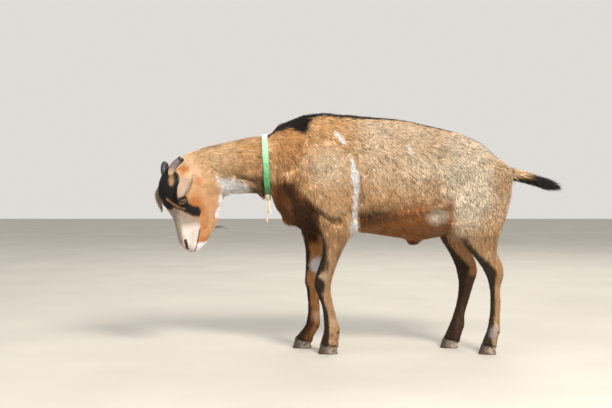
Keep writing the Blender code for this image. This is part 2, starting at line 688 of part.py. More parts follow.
def make_claw(name, inner, collection):
    """One of a foot's two claws: a flat sole, and walls that lean in to the coronet."""
    toe, heel, reach = FEET[name]
    side = LEGS[name][1]
    away = -side if inner else side
    rings = []
    for level in (0, 0.5, 1):
        ring = []
        front = toe + CLAW_LEAN * level
        back = heel - CLAW_LEAN * level / 3
        width = CLAW_WIDTH * (1 - level / 10)
        for index in range(CLAW_POINTS):
            angle = 2 * math.pi * index / CLAW_POINTS
            back_share = (1 - math.cos(angle)) / 2
            x = front + (back - front) * back_share
            fullness = abs(math.sin(angle)) ** 0.75 * (0.62 + 0.38 * min(1, back_share * 2))
            y = CLAW_SPLIT + (width * fullness if math.sin(angle) > 0 else CLAW_SPLIT * (1 - fullness))
            roof = CORONET - CORONET_FALL * (x - toe) / (heel - toe)
            ring.append(Vector((x, side * reach + away * y, roof * level)))
        rings.append(ring)
    return loft(rings, f"claw_{name}_{'inner' if inner else 'outer'}", collection)


def make_cord(name, route, collection):
    curve = bpy.data.curves.new(name, "CURVE")
    curve.dimensions = "3D"
    curve.bevel_depth = TWINE_RADIUS
    curve.bevel_resolution = 2
    curve.use_fill_caps = True
    spline = curve.splines.new("POLY")
    spline.points.add(len(route) - 1)
    for point, place in zip(spline.points, route):
        point.co = (*place, 1)
    cord = bpy.data.objects.new(name, curve)
    collection.objects.link(cord)
    return cord


def stand_at_origin(collection):
    """Shift every part so that the bottom centre of their box is the origin."""
    bpy.context.view_layer.update()
    corners = np.array([thing.matrix_world @ Vector(corner)
                        for thing in collection.objects for corner in thing.bound_box])
    middle = (corners.min(axis=0) + corners.max(axis=0)) / 2
    for thing in collection.objects:
        thing.location -= Vector((middle[0], middle[1], 0))


def shade(collection):
    """Smooth shading on the round faces, with the edges of the cuts kept sharp."""
    for thing in collection.objects:
        if thing.type == "MESH":
            thing.data.shade_smooth()
            thing.data.set_sharp_from_angle(angle=SHARP_ANGLE)


def main():
    clear_scene()
    parts = new_collection("goat")
    cutters = new_collection("cutters")

    flesh = fused_flesh(cutters)
    trim_feet(flesh, cutters)
    grown = swollen(flesh, cutters)

    finishes = []
    for side, end in ((LEFT, "left"), (RIGHT, "right")):
        centre = mirrored(EYE_CENTRE) if side == RIGHT else EYE_CENTRE
        eye = ball(centre, (EYE_RADIUS,) * 3, HEAD_FRAME, "eye_" + end, parts, 12)
        socket = ball(centre, (EYE_RADIUS + GAP,) * 3, HEAD_FRAME, f"socket_{end}", cutters, 12)
        cut_away(flesh, hide_cutter(socket))
        horn = make_horn(side, parts)
        ear = make_ear(side, parts)
        for piece in (horn, ear):
            cut_away(piece, grown)
        finishes += [(eye, "eye_amber"), (horn, "horn_grey"), (ear, "ear_skin")]

    collar = make_collar(parts)
    strap_space = swollen(collar, cutters)
    cut_away(collar, grown)
    knot = ball(KNOT_CENTRE, KNOT_RADII, BODY_FRAME, "twine_knot", parts, 10)
    cut_away(knot, grown)
    cut_away(knot, strap_space)
    finishes += [(collar, "strap_green"), (knot, "twine_cream")]
    for name in FEET:
        for inner in (True, False):
            finishes.append((make_claw(name, inner, parts), "hoof_black"))
    for name, route in TWINE_ENDS.items():
        finishes.append((make_cord(name, route, parts), "twine_cream"))
    for thing, finish in finishes:
        thing.data.materials.clear()
        thing.data.materials.append(material(finish))

    part_flesh(flesh, parts, cutters)
    shade(parts)
    stand_at_origin(parts)


main()
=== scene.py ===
import itertools
import math

import bmesh
import bpy
import numpy as np
from mathutils import Matrix, Vector
from mathutils.bvhtree import BVHTree


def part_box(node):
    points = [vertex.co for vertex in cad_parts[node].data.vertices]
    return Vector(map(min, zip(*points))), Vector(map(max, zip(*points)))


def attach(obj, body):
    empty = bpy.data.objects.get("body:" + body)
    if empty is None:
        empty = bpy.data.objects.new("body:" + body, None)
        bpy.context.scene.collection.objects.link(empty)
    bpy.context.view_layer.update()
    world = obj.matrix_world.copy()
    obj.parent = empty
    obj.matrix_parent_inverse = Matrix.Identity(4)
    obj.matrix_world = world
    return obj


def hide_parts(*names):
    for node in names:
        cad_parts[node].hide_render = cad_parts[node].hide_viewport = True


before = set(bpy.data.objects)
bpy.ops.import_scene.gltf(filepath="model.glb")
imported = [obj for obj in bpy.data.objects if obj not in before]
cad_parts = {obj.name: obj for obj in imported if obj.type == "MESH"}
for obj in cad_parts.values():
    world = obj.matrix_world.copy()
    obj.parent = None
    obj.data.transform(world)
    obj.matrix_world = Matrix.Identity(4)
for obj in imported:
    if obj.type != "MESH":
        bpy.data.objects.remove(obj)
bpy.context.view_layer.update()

# Metres, +Z up. The goat faces -X and its left side is on -Y. Places on the body are written from the
# point on the floor under its shoulder, and those on the head from its poll as (along, out, up): along
# runs down to the muzzle, out to the goat's left, up out of the forehead.

body = {
    "origin": (-0.098383, 0.01263, 0.0),
    "poll": (-0.334, -0.047, 0.4651),
    "headTuck": 5,  # degrees
    "headTurn": 30,
    "tailRoot": (0.462, 0.0, 0.436),
    "tailDroop": 16,
    "crest": ((-0.32, 0.479), (-0.22, 0.508), (-0.12, 0.528), (-0.07, 0.560), (-0.02, 0.578), (0.03, 0.581),
              (0.085, 0.576), (0.145, 0.570), (0.21, 0.563), (0.265, 0.551), (0.31, 0.541), (0.355, 0.527),
              (0.40, 0.505), (0.44, 0.471)),  # x and height of the line of the back
    "throatCut": (-0.2215, -0.024, 0.372),  # a point of the plane between head and neck, and its direction
    "headCutNormal": (0.825, 0.204, 0.527),
    "headEnd": -0.19,  # x that the head and ears lie before
    "forelegEnd": 0.15,  # x that the forelegs lie before
    "hindlegStart": 0.27,  # x that the hind legs lie behind
    "whorl": (0.288, 0.0, 0.334),  # where the hair turns before the thigh
}
bodyOrigin = np.array(body["origin"])
poll = np.array(body["poll"])
tuck = math.radians(body["headTuck"])
alongHead = Vector((math.sin(tuck), 0, -math.cos(tuck)))
turning = Matrix.Rotation(-math.radians(body["headTurn"]), 3, alongHead)
upHead = turning @ Vector((-math.cos(tuck), 0, -math.sin(tuck)))
outHead = upHead.cross(alongHead)
headAxes = np.array([alongHead, outHead, upHead])
droop = math.radians(body["tailDroop"])
tailAxis = np.array((math.cos(droop), 0, -math.sin(droop)))


def fromHead(place):
    # a place given on the head, in the frame's own coordinates
    return np.asarray(place, float) @ headAxes + poll + bodyOrigin


def onHead(points):
    return (points - bodyOrigin - poll) @ headAxes.T


def onBody(points):
    return points - bodyOrigin


def ramp(value, low, high):
    # 0 below low, 1 above high, smooth between
    share = np.clip((value - low) / (high - low), 0, 1)
    return share * share * (3 - 2 * share)


def unit(vectors):
    return vectors / np.maximum(np.linalg.norm(vectors, axis=-1, keepdims=True), 1e-9)


def softNoise(points, size, seed):
    # smooth random values from -1 to 1 that change over about this many metres
    grid = points / size
    cell = np.floor(grid).astype(np.int64)
    part = grid - cell
    part = part * part * (3 - 2 * part)
    total = np.zeros(len(points))
    for corner in itertools.product((0, 1), repeat=3):
        key = ((cell + corner) * (73856093, 19349663, 83492791)).sum(axis=1) + seed * 7919
        key = ((key ^ (key >> 13)) * 1274126177) & 0x7FFFFFFF
        value = ((key ^ (key >> 15)) & 0xFFFF) / 32767.5 - 1
        total += np.prod(np.where(corner, part, 1 - part), axis=1) * value
    return total


def insideOf(across, along, corners, soft):
    # 1 inside an outline, 0 outside, soft over this distance on both sides of its edge
    inside = np.zeros(len(across), bool)
    nearest = np.full(len(across), 9.0)
    for (x0, y0), (x1, y1) in zip(corners, corners[1:] + corners[:1]):
        step = np.array((x1 - x0, y1 - y0))
        t = np.clip(((across - x0) * step[0] + (along - y0) * step[1]) / (step @ step), 0, 1)
        nearest = np.minimum(nearest, np.hypot(across - x0 - t * step[0], along - y0 - t * step[1]))
        if y0 != y1:
            crosses = (along < y0) != (along < y1)
            inside ^= crosses & (across < x0 + (along - y0) * step[0] / step[1])
    return ramp(np.where(inside, nearest, -nearest), -soft, soft)


def ball(points, centre, radii, soft=0.25):
    # 1 inside an ellipsoid, 0 outside, soft over this share of its radii
    away = np.linalg.norm((points - np.array(centre)) / np.array(radii), axis=1)
    return 1 - ramp(away, 1 - soft, 1 + soft)


def toRoute(points, route):
    # distance to a line of points, and how far along it the nearest place is, from 0 to 1
    route = np.array(route)
    best = np.full(len(points), 1e9)
    share = np.zeros(len(points))
    for index, (start, end) in enumerate(zip(route, route[1:])):
        step = end - start
        t = np.clip((points - start) @ step / (step @ step), 0, 1)
        away = np.linalg.norm(points - start - t[:, None] * step, axis=1)
        near = away < best
        best = np.where(near, away, best)
        share = np.where(near, (index + t) / (len(route) - 1), share)
    return best, share


def smoothRoute(points, count):
    # places at even steps on a smooth curve through the points
    points = np.array(points, float)
    at = np.linspace(0, len(points) - 1, count)
    index = np.clip(at.astype(int), 0, len(points) - 2)
    t = (at - index)[:, None]
    slope = np.gradient(points, axis=0)
    low, high = points[index], points[index + 1]
    return (low * (1 + 2 * t) * (1 - t) ** 2 + slope[index] * t * (1 - t) ** 2
            + high * t * t * (3 - 2 * t) - slope[index + 1] * t * t * (1 - t))


def srgb(code):
    # a hex colour as the linear values that shaders use
    shares = [int(code[i:i + 2], 16) / 255 for i in (1, 3, 5)]
    return (*[s / 12.92 if s <= 0.04045 else ((s + 0.055) / 1.055) ** 2.4 for s in shares], 1)


def addNode(tree, kind, inputs=None, **settings):
    # a node with its settings, and each input given a value or linked to another node's output
    node = tree.nodes.new(kind)
    for name, value in settings.items():
        setattr(node, name, value)
    for name, value in (inputs or {}).items():
        socket = node.inputs[name]
        if isinstance(value, bpy.types.NodeSocket):
            tree.links.new(value, socket)
        else:
            socket.default_value = value
    return node


def newMaterial(name, roughness, ior=1.45, fixed=None):
    # a Principled material, with what is the same all over set on its own sockets
    material = bpy.data.materials.new(name)
    material.use_nodes = True
    sockets = material.node_tree.nodes["Principled BSDF"].inputs
    sockets["Roughness"].default_value = roughness
    sockets["IOR"].default_value = ior
    for socket, value in (fixed or {}).items():
        sockets[socket].default_value = value
    return material, material.node_tree


def wire(tree, sources):
    # the pattern's outputs to the shader's own sockets
    for socket, output in sources.items():
        tree.links.new(output, tree.nodes["Principled BSDF"].inputs[socket])


def meshFromArrays(name, points, faces):
    # an object from arrays of corners and of triangles or quads
    mesh = bpy.data.meshes.new(name)
    sides = faces.shape[1]
    mesh.vertices.add(len(points))
    mesh.vertices.foreach_set("co", np.asarray(points, np.float32).ravel())
    mesh.loops.add(faces.size)
    mesh.loops.foreach_set("vertex_index", faces.astype(np.int32).ravel())
    mesh.polygons.add(len(faces))
    mesh.polygons.foreach_set("loop_start", np.arange(0, faces.size, sides, dtype=np.int32))
    mesh.update(calc_edges=True)
    mesh.validate()
    mesh.shade_smooth()
    piece = bpy.data.objects.new(name, mesh)
    bpy.context.scene.collection.objects.link(piece)
    return piece


def pieceFrom(builder, name):
    # an object from a bmesh, which ends with it
    mesh = bpy.data.meshes.new(name)
    builder.to_mesh(mesh)
    builder.free()
    mesh.shade_smooth()
    piece = bpy.data.objects.new(name, mesh)
    bpy.context.scene.collection.objects.link(piece)
    return piece


def mergedNodes(name, nodes):
    # a copy of some CAD nodes as one object, their loose triangles merged
    builder = bmesh.new()
    for node in nodes:
        builder.from_mesh(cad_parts[node].data)
    bmesh.ops.remove_doubles(builder, verts=builder.verts, dist=0.00005)
    return pieceFrom(builder, name)


def joined(name, pieces):
    # the pieces as one object
    builder = bmesh.new()
    for piece in pieces:
        builder.from_mesh(piece.data)
        bpy.data.objects.remove(piece, do_unlink=True)
    return pieceFrom(builder, name)


def addModifier(piece, kind, **settings):
    modifier = piece.modifiers.new(kind.lower(), kind)
    for name, value in settings.items():
        setattr(modifier, name, value)
    return modifier


def pointsOf(mesh):
    points = np.empty(len(mesh.vertices) * 3, np.float32)
    mesh.vertices.foreach_get("co", points)
    return points.reshape(-1, 3).astype(float)


def normalsOf(mesh):
    normals = np.empty(len(mesh.vertices) * 3, np.float32)
    mesh.vertex_normals.foreach_get("vector", normals)
    return normals.reshape(-1, 3).astype(float)


def setPoints(mesh, points):
    mesh.vertices.foreach_set("co", points.astype(np.float32).ravel())
    mesh.update()


def addAttribute(mesh, name, kind, values):
    layer = mesh.attributes.new(name, kind, "POINT")
    layer.data.foreach_set("color" if kind == "FLOAT_COLOR" else "vector", values.astype(np.float32).ravel())


def baked(piece):
    # the piece's modifiers made into its mesh
    graph = bpy.context.evaluated_depsgraph_get()
    mesh = bpy.data.meshes.new_from_object(piece.evaluated_get(graph))
    piece.modifiers.clear()
    piece.data = mesh
    return piece


def newTree(name, **given):
    # an empty Geometry Nodes tree with its named inputs
    tree = bpy.data.node_groups.new(name, "GeometryNodeTree")
    for label, kind in given.items():
        tree.interface.new_socket(label, in_out="INPUT", socket_type="NodeSocket" + kind)
    tree.interface.new_socket("Result", in_out="OUTPUT", socket_type="NodeSocketGeometry")
    return tree


def runTree(piece, tree, **values):
    # the piece made over by a tree, with the values of its inputs
    modifier = addModifier(piece, "NODES", node_group=tree)
    for item in tree.interface.items_tree:
        if item.name in values:
            modifier[item.identifier] = values[item.name]
    return baked(piece)


def tube(name, centres, ringOf, sides, closed=False):
    # a skin round a line of centres. ringOf gives each ring's points from its index, centre and directions
    count = len(centres)
    before = np.roll(centres, 1, axis=0) if closed else np.vstack([centres[:1], centres[:-1]])
    after = np.roll(centres, -1, axis=0) if closed else np.vstack([centres[1:], centres[-1:]])
    headings = unit(after - before)
    side = unit(np.cross(headings[0], (0.3, 0.9, 0.31)))
    rings = []
    for index in range(count):
        side = unit(side - headings[index] * (side @ headings[index]))
        rings.append(ringOf(index, centres[index], headings[index], side, np.cross(headings[index], side)))
    points = np.vstack(rings)
    faces = []
    for ring in range(count if closed else count - 1):
        for spot in range(sides):
            a, b = ring * sides + spot, ring * sides + (spot + 1) % sides
            c, d = [(corner + sides) % len(points) for corner in (a, b)]
            faces.append((a, b, d, c))
    builder = bmesh.new()
    corners = [builder.verts.new(point) for point in points]
    for face in faces:
        builder.faces.new([corners[i] for i in face])
    if not closed:
        builder.faces.new(corners[:sides][::-1])
        builder.faces.new(corners[-sides:])
    bmesh.ops.recalc_face_normals(builder, faces=builder.faces)
    return pieceFrom(builder, name)


def finishPiece(piece, material, slot, *nodes):
    # its material, its body and what it stands for
    piece.data.materials.clear()
    piece.data.materials.append(material)
    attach(piece, "root")
    if nodes:
        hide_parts(*nodes)


# Camera, floor and light

studio = {
    "cameraPlace": (-0.122783, -2.95737, 0.429),
    "cameraPitch": 88.64,  # degrees from straight down
    "lens": 71.7,
    "sunPlace": (1.3, -3.0, 2.7),
    "sunSize": 1.0,
    "sunPower": 222,
    "fillPlace": (-2.8, -2.4, 1.4),
    "fillSize": 3.0,
    "fillPower": 40,
    "backPlace": (0.8, 2.8, 2.8),
    "backSize": 2.0,
    "backPower": 60,
    "sky": "#F6F3EE",
    "skyStrength": 0.80,
    "floor": "#B3B0A9",
}


def makeStudio():
    scene = bpy.context.scene
    camera = bpy.data.objects.new("camera", bpy.data.cameras.new("camera"))
    camera.location = studio["cameraPlace"]
    camera.rotation_euler = (math.radians(studio["cameraPitch"]), 0, 0)
    camera.data.lens = studio["lens"]
    camera.data.clip_start = 0.01
    scene.collection.objects.link(camera)
    scene.camera = camera
    target = Vector((0, 0, 0.35))
    for name, colour in (("sun", "#FFF7EC"), ("fill", "#EDF2FF"), ("back", "#FFF9F0")):
        light = bpy.data.lights.new(name, "AREA")
        light.energy = studio[name + "Power"]
        light.size = studio[name + "Size"]
        light.color = srgb(colour)[:3]
        lamp = bpy.data.objects.new(name, light)
        lamp.location = studio[name + "Place"]
        lamp.rotation_euler = (target - lamp.location).to_track_quat("-Z", "Y").to_euler()
        scene.collection.objects.link(lamp)
    world = bpy.data.worlds.new("paleStudio")
    world.use_nodes = True
    world.node_tree.nodes["Background"].inputs["Color"].default_value = srgb(studio["sky"])
    world.node_tree.nodes["Background"].inputs["Strength"].default_value = studio["skyStrength"]
    scene.world = world
    scene.view_settings.view_transform = "Standard"

    # painted plaster floor: matt, with a faint trowel mottle
    material, tree = newMaterial("paintedPlaster", 0.9, fixed={"Specular IOR Level": 0.1})
    place = addNode(tree, "ShaderNodeTexCoord").outputs["Object"]
    mottle = addNode(tree, "ShaderNodeTexNoise", {"Vector": place, "Scale": 3.0, "Detail": 4.0})
    shade = addNode(tree, "ShaderNodeMix", {0: mottle.outputs["Fac"], 6: srgb(studio["floor"]),
                                            7: srgb("#C8C4BC")}, data_type="RGBA")
    wire(tree, {"Base Color": shade.outputs[2]})
    corners = np.array([(-9, -9, 0), (9, -9, 0), (9, 9, 0), (-9, 9, 0)], float)
    floor = meshFromArrays("floor", corners, np.array([(0, 1, 2, 3)]))
    floor.data.materials.append(material)


makeStudio()
print("studio ready")


# The two free ends of the twine

twine = {
    "thickness": 0.004,
    "strands": 3,
    "turnsPerMetre": 85,
    "knotTurns": 3,
    "ends": {
        "twineEndLong": ("twine_end_long", ((-0.1190, -0.020, 0.3685), (-0.1196, -0.021, 0.3600),
                                            (-0.1188, -0.022, 0.3500), (-0.1172, -0.023, 0.3390),
                                            (-0.1176, -0.023, 0.3270), (-0.1190, -0.022, 0.3150))),
        "twineEndShort": ("twine_end_short", ((-0.1130, -0.024, 0.3690), (-0.1122, -0.028, 0.3620),
                                              (-0.1124, -0.031, 0.3530), (-0.1108, -0.033, 0.3440),
                                              (-0.1085, -0.033, 0.3350))),
    },
}


def twineRing(radius, travelled, sides):
    # a ring of a laid cord: one lobe for each strand, turned a little further at each step
    angles = np.linspace(0, 2 * math.pi, sides, endpoint=False)

    def ring(index, centre, heading, side, other):
        lay = 2 * math.pi * twine["turnsPerMetre"] * travelled[index] / twine["strands"]
        spread = radius * (0.84 + 0.16 * np.cos(twine["strands"] * (angles - lay)))
        return centre + spread[:, None] * (np.cos(angles)[:, None] * side + np.sin(angles)[:, None] * other)
    return ring


def travelAlong(route):
    steps = np.linalg.norm(np.diff(route, axis=0), axis=1)
    return np.concatenate([[0], np.cumsum(steps)])


def makeTwineMaterial():
    # jute twine: soft dry bast fibre, matt, cream, with darker grooves between the strands and loose fibres
    material, tree = newMaterial("juteTwine", 0.85, 1.5, {"Sheen Weight": 0.25})
    place = addNode(tree, "ShaderNodeTexCoord").outputs["Object"]
    spread = addNode(tree, "ShaderNodeMapping", {"Vector": place, "Scale": (900, 900, 260)})
    fibres = addNode(tree, "ShaderNodeTexNoise", {"Vector": spread.outputs[0], "Scale": 1.0, "Detail": 3.0})
    dirt = addNode(tree, "ShaderNodeTexNoise", {"Vector": place, "Scale": 90.0})
    base = addNode(tree, "ShaderNodeMix", {0: fibres.outputs["Fac"], 6: srgb("#B9A27A"), 7: srgb("#F3E7C8")},
                   data_type="RGBA")
    stain = addNode(tree, "ShaderNodeMapRange", {0: dirt.outputs["Fac"], 1: 0.52, 2: 0.75, 3: 0.0, 4: 0.45})
    worn = addNode(tree, "ShaderNodeMix", {0: stain.outputs[0], 6: base.outputs[2], 7: srgb("#8A7048")},
                   data_type="RGBA")
    bump = addNode(tree, "ShaderNodeBump", {"Height": fibres.outputs["Fac"], "Strength": 0.5,
                                            "Distance": 0.0004})
    wire(tree, {"Base Color": worn.outputs[2], "Normal": bump.outputs[0]})
    return material


twineMaterial = makeTwineMaterial()
for name, (node, route) in twine["ends"].items():
    path = smoothRoute(np.array(route) + bodyOrigin, 28)
    travelled = travelAlong(path)
    cord = tube(name, path, twineRing(twine["thickness"] / 2, travelled, 12), 12)
    finishPiece(cord, twineMaterial, "twine_cream", node)
    print(name, round(float(travelled[-1]) * 1000, 1), "mm")
print("twine ends ready")


# What lies where on the animal

def weights(points):
    # how much each point belongs to the head, neck, tail, legs and ears
    p, h = onBody(points), onHead(points)
    beyondCut = (p - np.array(body["throatCut"])) @ np.array(body["headCutNormal"])
    head = ramp(-beyondCut, -0.008, 0.008) * (p[:, 0] < body["headEnd"])
    neck = (1 - head) * ramp(-p[:, 0], 0.085, 0.125) * (p[:, 2] > 0.34)
    tailShare = (p - np.array(body["tailRoot"])) @ tailAxis
    beside = np.linalg.norm(p - np.array(body["tailRoot"]) - tailShare[:, None] * tailAxis, axis=1)
    tail = ramp(tailShare, 0.0, 0.018) * (1 - ramp(beside, 0.026, 0.034))
    low = (1 - ramp(p[:, 2], 0.255, 0.335)) * ramp(np.abs(p[:, 1]), 0.016, 0.030) * (1 - head)
    front = low * (p[:, 0] < body["forelegEnd"])
    hind = low * (p[:, 0] > body["hindlegStart"])
    ear, earShare = np.zeros(len(p)), np.zeros(len(p))
    for route in earRoutes():
        close, share = aboutEar(points, route)
        mine = close * ramp(share, 0.16, 0.26) * (p[:, 0] < body["headEnd"])
        earShare = np.where(mine > ear, share, earShare)
        ear = np.maximum(ear, mine)
    return {"head": head, "neck": neck, "tail": tail, "front": front, "hind": hind, "ear": ear,
            "earShare": earShare, "tailShare": tailShare, "cut": -beyondCut, "p": p, "h": h}


ears = {
    "left": ((0.038, 0.036, -0.010), (0.051, 0.059, 0.006), (0.071, 0.073, 0.022), (0.0905, 0.078, 0.040)),
    "right": ((0.044, -0.036, -0.016), (0.053, -0.060, 0.004), (0.078, -0.073, 0.0225),
              (0.120, -0.066, 0.0215)),
    "leftFacing": (-0.55, 0.80, 0.25),  # where the hollow looks, on the head
    "rightFacing": (-0.45, -0.70, 0.55),
    "width": 0.030,
    "thickness": 0.0026,
    "curl": 0.46,
}


def earRoutes():
    return [smoothRoute([fromHead(place) for place in ears[side]], 16) for side in ("left", "right")]


def aboutEar(points, route):
    # 1 close to an ear's middle line, and how far along it
    away, share = toRoute(points, route)
    return ramp(-away, -0.022, -0.017), share


def hemHeight(x):
    # height of the line along the side where the long coat ends over the belly
    return 0.329 + (x - 0.12) * 0.177


def crestAbove(p):
    table = np.array(body["crest"])
    return np.interp(p[:, 0], table[:, 0], table[:, 1]) - p[:, 2]


def markings(points, normals):
    # shares of rust, cream, black and white in the coat at each point. The tan of the coat is the rest
    w = weights(points)
    p, h = w["p"], w["h"]
    ragged = softNoise(points, 0.010, 3) * 0.6 + softNoise(points, 0.004, 4) * 0.4
    broad = softNoise(points, 0.045, 5)
    x, y, z = p.T
    below = crestAbove(p) + 0.003 * ragged
    rust, cream, black, white = (np.zeros(len(p)) for _ in range(4))
    trunk = (1 - w["head"]) * (1 - w["neck"]) * (1 - w["tail"])
    left = y < 0
    flat = p * (1, 0, 1)

    # trunk: paler above, rust towards the belly, with painted shade on the belly and along the hem
    side = 1 - ramp(normals[:, 2], 0.80, 0.99)
    cream += trunk * ramp(x, 0.06, 0.16) * (0.60 + 0.20 * broad) * (1 - ramp(below, 0.10, 0.21)) * side
    cream += trunk * 0.75 * ball(flat, (0.35, 0, 0.37), (0.045, 1, 0.085), 0.6)
    cream += 0.22 * trunk * ramp(x, 0.30, 0.36)
    cream *= 1 - 0.55 * ramp(x, 0.40, 0.44)
    rust += 0.30 * trunk * ramp(x, 0.40, 0.45)
    # a pale patch on the shoulder: partly paler coat, partly a painted highlight on the shoulder's bulge
    cream += trunk * 0.62 * ball(flat, (0.028, 0, 0.450), (0.048, 1, 0.048), 0.6)
    rust += trunk * 0.16 * ball(flat, (0.036, 0, 0.368), (0.050, 1, 0.042), 0.6)
    cream += trunk * 0.16 * ball(flat, (0.036, 0, 0.368), (0.050, 1, 0.042), 0.6)
    rust += 0.35 * trunk * ball(flat, (-0.08, 0, 0.50), (0.05, 1, 0.06), 0.6)
    hem = hemHeight(x) + 0.007 * ragged
    underSide = trunk * ramp(hem - z, -0.015, 0.008) * ramp(x, 0.095, 0.11) * (1 - ramp(x, 0.31, 0.34))
    rust = np.maximum(rust, underSide * 0.88)
    # black over the belly, stronger further down: painted shade under the belly, over its own orange-brown
    # coat
    black += underSide * (0.26 + 0.14 * ramp(hem - z, 0.004, 0.05))
    cream *= 1 - underSide
    # a dark band just above the hem, towards the front of the belly: painted shade where the side turns under
    shadeAboveHem = trunk * ramp(z - hem, -0.003, 0.002) * (1 - ramp(z - hem, 0.006, 0.034)) * (0.8 + 0.5 * broad)
    black += 0.74 * shadeAboveHem * ramp(x, 0.098, 0.110) * (1 - ramp(x, 0.16, 0.27))
    rust += 0.20 * trunk * ramp(below, 0.12, 0.20) * ramp(x, 0.08, 0.12) * (1 - ramp(x, 0.30, 0.36))
    black += 0.11 * trunk * ramp(x, 0.05, 0.12) * (1 - ramp(below, 0.05, 0.12))
    rust = np.minimum(rust, 0.84)
    # a dark band just below the hem at the front: painted shade
    shadeBelowHem = trunk * ramp(hem - z, -0.004, 0.002) * (1 - ramp(hem - z, 0.010, 0.026))
    black += 0.42 * shadeBelowHem * ramp(x, 0.098, 0.110) * (1 - ramp(x, 0.15, 0.22))
    whorl = ball(flat, body["whorl"], (0.026, 1, 0.022), 0.5) * trunk
    cream = np.maximum(cream, 0.85 * whorl)
    rust *= 1 - 0.6 * whorl

    # black along the back: a broad patch before the withers, then a thin stripe
    stripe = np.interp(x, (-0.125, -0.09, -0.066, -0.049, -0.032, -0.020, -0.014, 0.0, 0.30, 0.42, 0.46),
                       (0.012, 0.017, 0.022, 0.036, 0.045, 0.038, 0.018, 0.0135, 0.0135, 0.011, 0.008))
    reach = np.interp(x, (-0.016, 0.0, 0.10, 0.35, 0.46),
                      (0.060, 0.024, 0.019, 0.016, 0.008)) + 0.002 * ragged
    stripe = 1 - ramp(below, stripe - 0.003, stripe + 0.004)
    stripe *= 1 - ramp(np.abs(y), reach - 0.003, reach + 0.003)
    black = np.maximum(black, stripe * (x > -0.13) * (1 - w["tail"]))
    black = np.maximum(black, 0.55 * w["neck"] * (1 - ramp(below, 0.004, 0.014)))

    # dark breast: red-brown in front, black towards the shoulder and brisket; then painted shade, as a dark
    # line in the elbow crease and a darker armpit
    breast = insideOf(x, z, [
        (-0.130, 0.385), (-0.100, 0.408), (-0.0865, 0.4172), (-0.0554, 0.4172), (-0.0459, 0.3934),
        (-0.0316, 0.3814), (-0.0101, 0.3721), (0.0041, 0.3507), (0.0113, 0.3173), (0.004, 0.262),
        (-0.130, 0.262)], 0.006) * trunk
    rust = np.maximum(rust, 0.95 * breast)
    cream *= 1 - breast
    black = np.maximum(black, 0.66 * breast * (1 + 0.3 * broad))
    blackest = insideOf(x + 0.004 * ragged, z, [
        (-0.082, 0.4172), (-0.0577, 0.4125), (-0.0459, 0.3834), (-0.0196, 0.3714), (-0.003, 0.3598),
        (0.0095, 0.334), (0.004, 0.262), (-0.07, 0.262), (-0.056, 0.3250), (-0.0627, 0.3693),
        (-0.0794, 0.3933)], 0.007)
    black = np.maximum(black, 0.86 * blackest * trunk)
    # a dark line along the elbow crease: painted shade in the crease
    crease, _ = toRoute(flat, ((-0.03, 0, 0.374), (0.0041, 0, 0.3507), (0.0184, 0, 0.3389),
                               (0.0325, 0, 0.3319), (0.0563, 0, 0.3248)))
    black = np.maximum(black, 0.75 * (1 - ramp(crease, 0.0025, 0.0065)) * trunk)
    # a darker armpit: painted shade
    armpit = ball(flat, (0.014, 0, 0.326), (0.018, 1, 0.018), 0.6) * trunk
    black = np.maximum(black, 0.38 * armpit * (0.8 + 0.6 * ragged))

    # white band behind the shoulder, and two small white marks
    band, share = toRoute(flat, ((0.079, 0, 0.476), (0.088, 0, 0.452), (0.093, 0, 0.422), (0.0945, 0, 0.388),
                                 (0.090, 0, 0.355), (0.089, 0, 0.325), (0.086, 0, 0.306)))
    width = np.interp(share, (0, 0.12, 0.3, 0.5, 0.62, 0.8, 1),
                      (0.002, 0.006, 0.0105, 0.0065, 0.004, 0.008, 0.010))
    white = np.maximum(white, (1 - ramp(band + 0.002 * ragged, width - 0.002, width + 0.002)) * trunk)
    for start, end, wide in (((0.044, 0, 0.530), (0.066, 0, 0.507), 0.0035),
                             ((0.213, 0, 0.500), (0.224, 0, 0.478), 0.003)):
        away, _ = toRoute(flat, (start, end))
        mark = 1 - ramp(away + 0.001 * ragged, wide - 0.002, wide + 0.002)
        white = np.maximum(white, mark * trunk * left)

    # neck: tan above, white throat by the jaw, and painted shade on its underside by the collar
    throat = w["neck"] * insideOf(x, z + 0.003 * ragged, [
        (-0.32, 0.435), (-0.225, 0.424), (-0.19, 0.418), (-0.170, 0.408), (-0.162, 0.385), (-0.165, 0.33),
        (-0.32, 0.33)], 0.006)
    white = np.maximum(white, 0.95 * throat)
    # black where the neck faces downward, outside the white throat: painted shade
    under = w["neck"] * ramp(-normals[:, 2] + 0.15 * ragged, 0.05, 0.45) * (1 - throat)
    black = np.maximum(black, 0.72 * under)
    nape = w["neck"] * ramp(-x, 0.15, 0.24)
    cream = np.maximum(cream, 0.22 * nape)
    rust = np.maximum(rust, 0.18 * w["neck"] * (1 - nape))

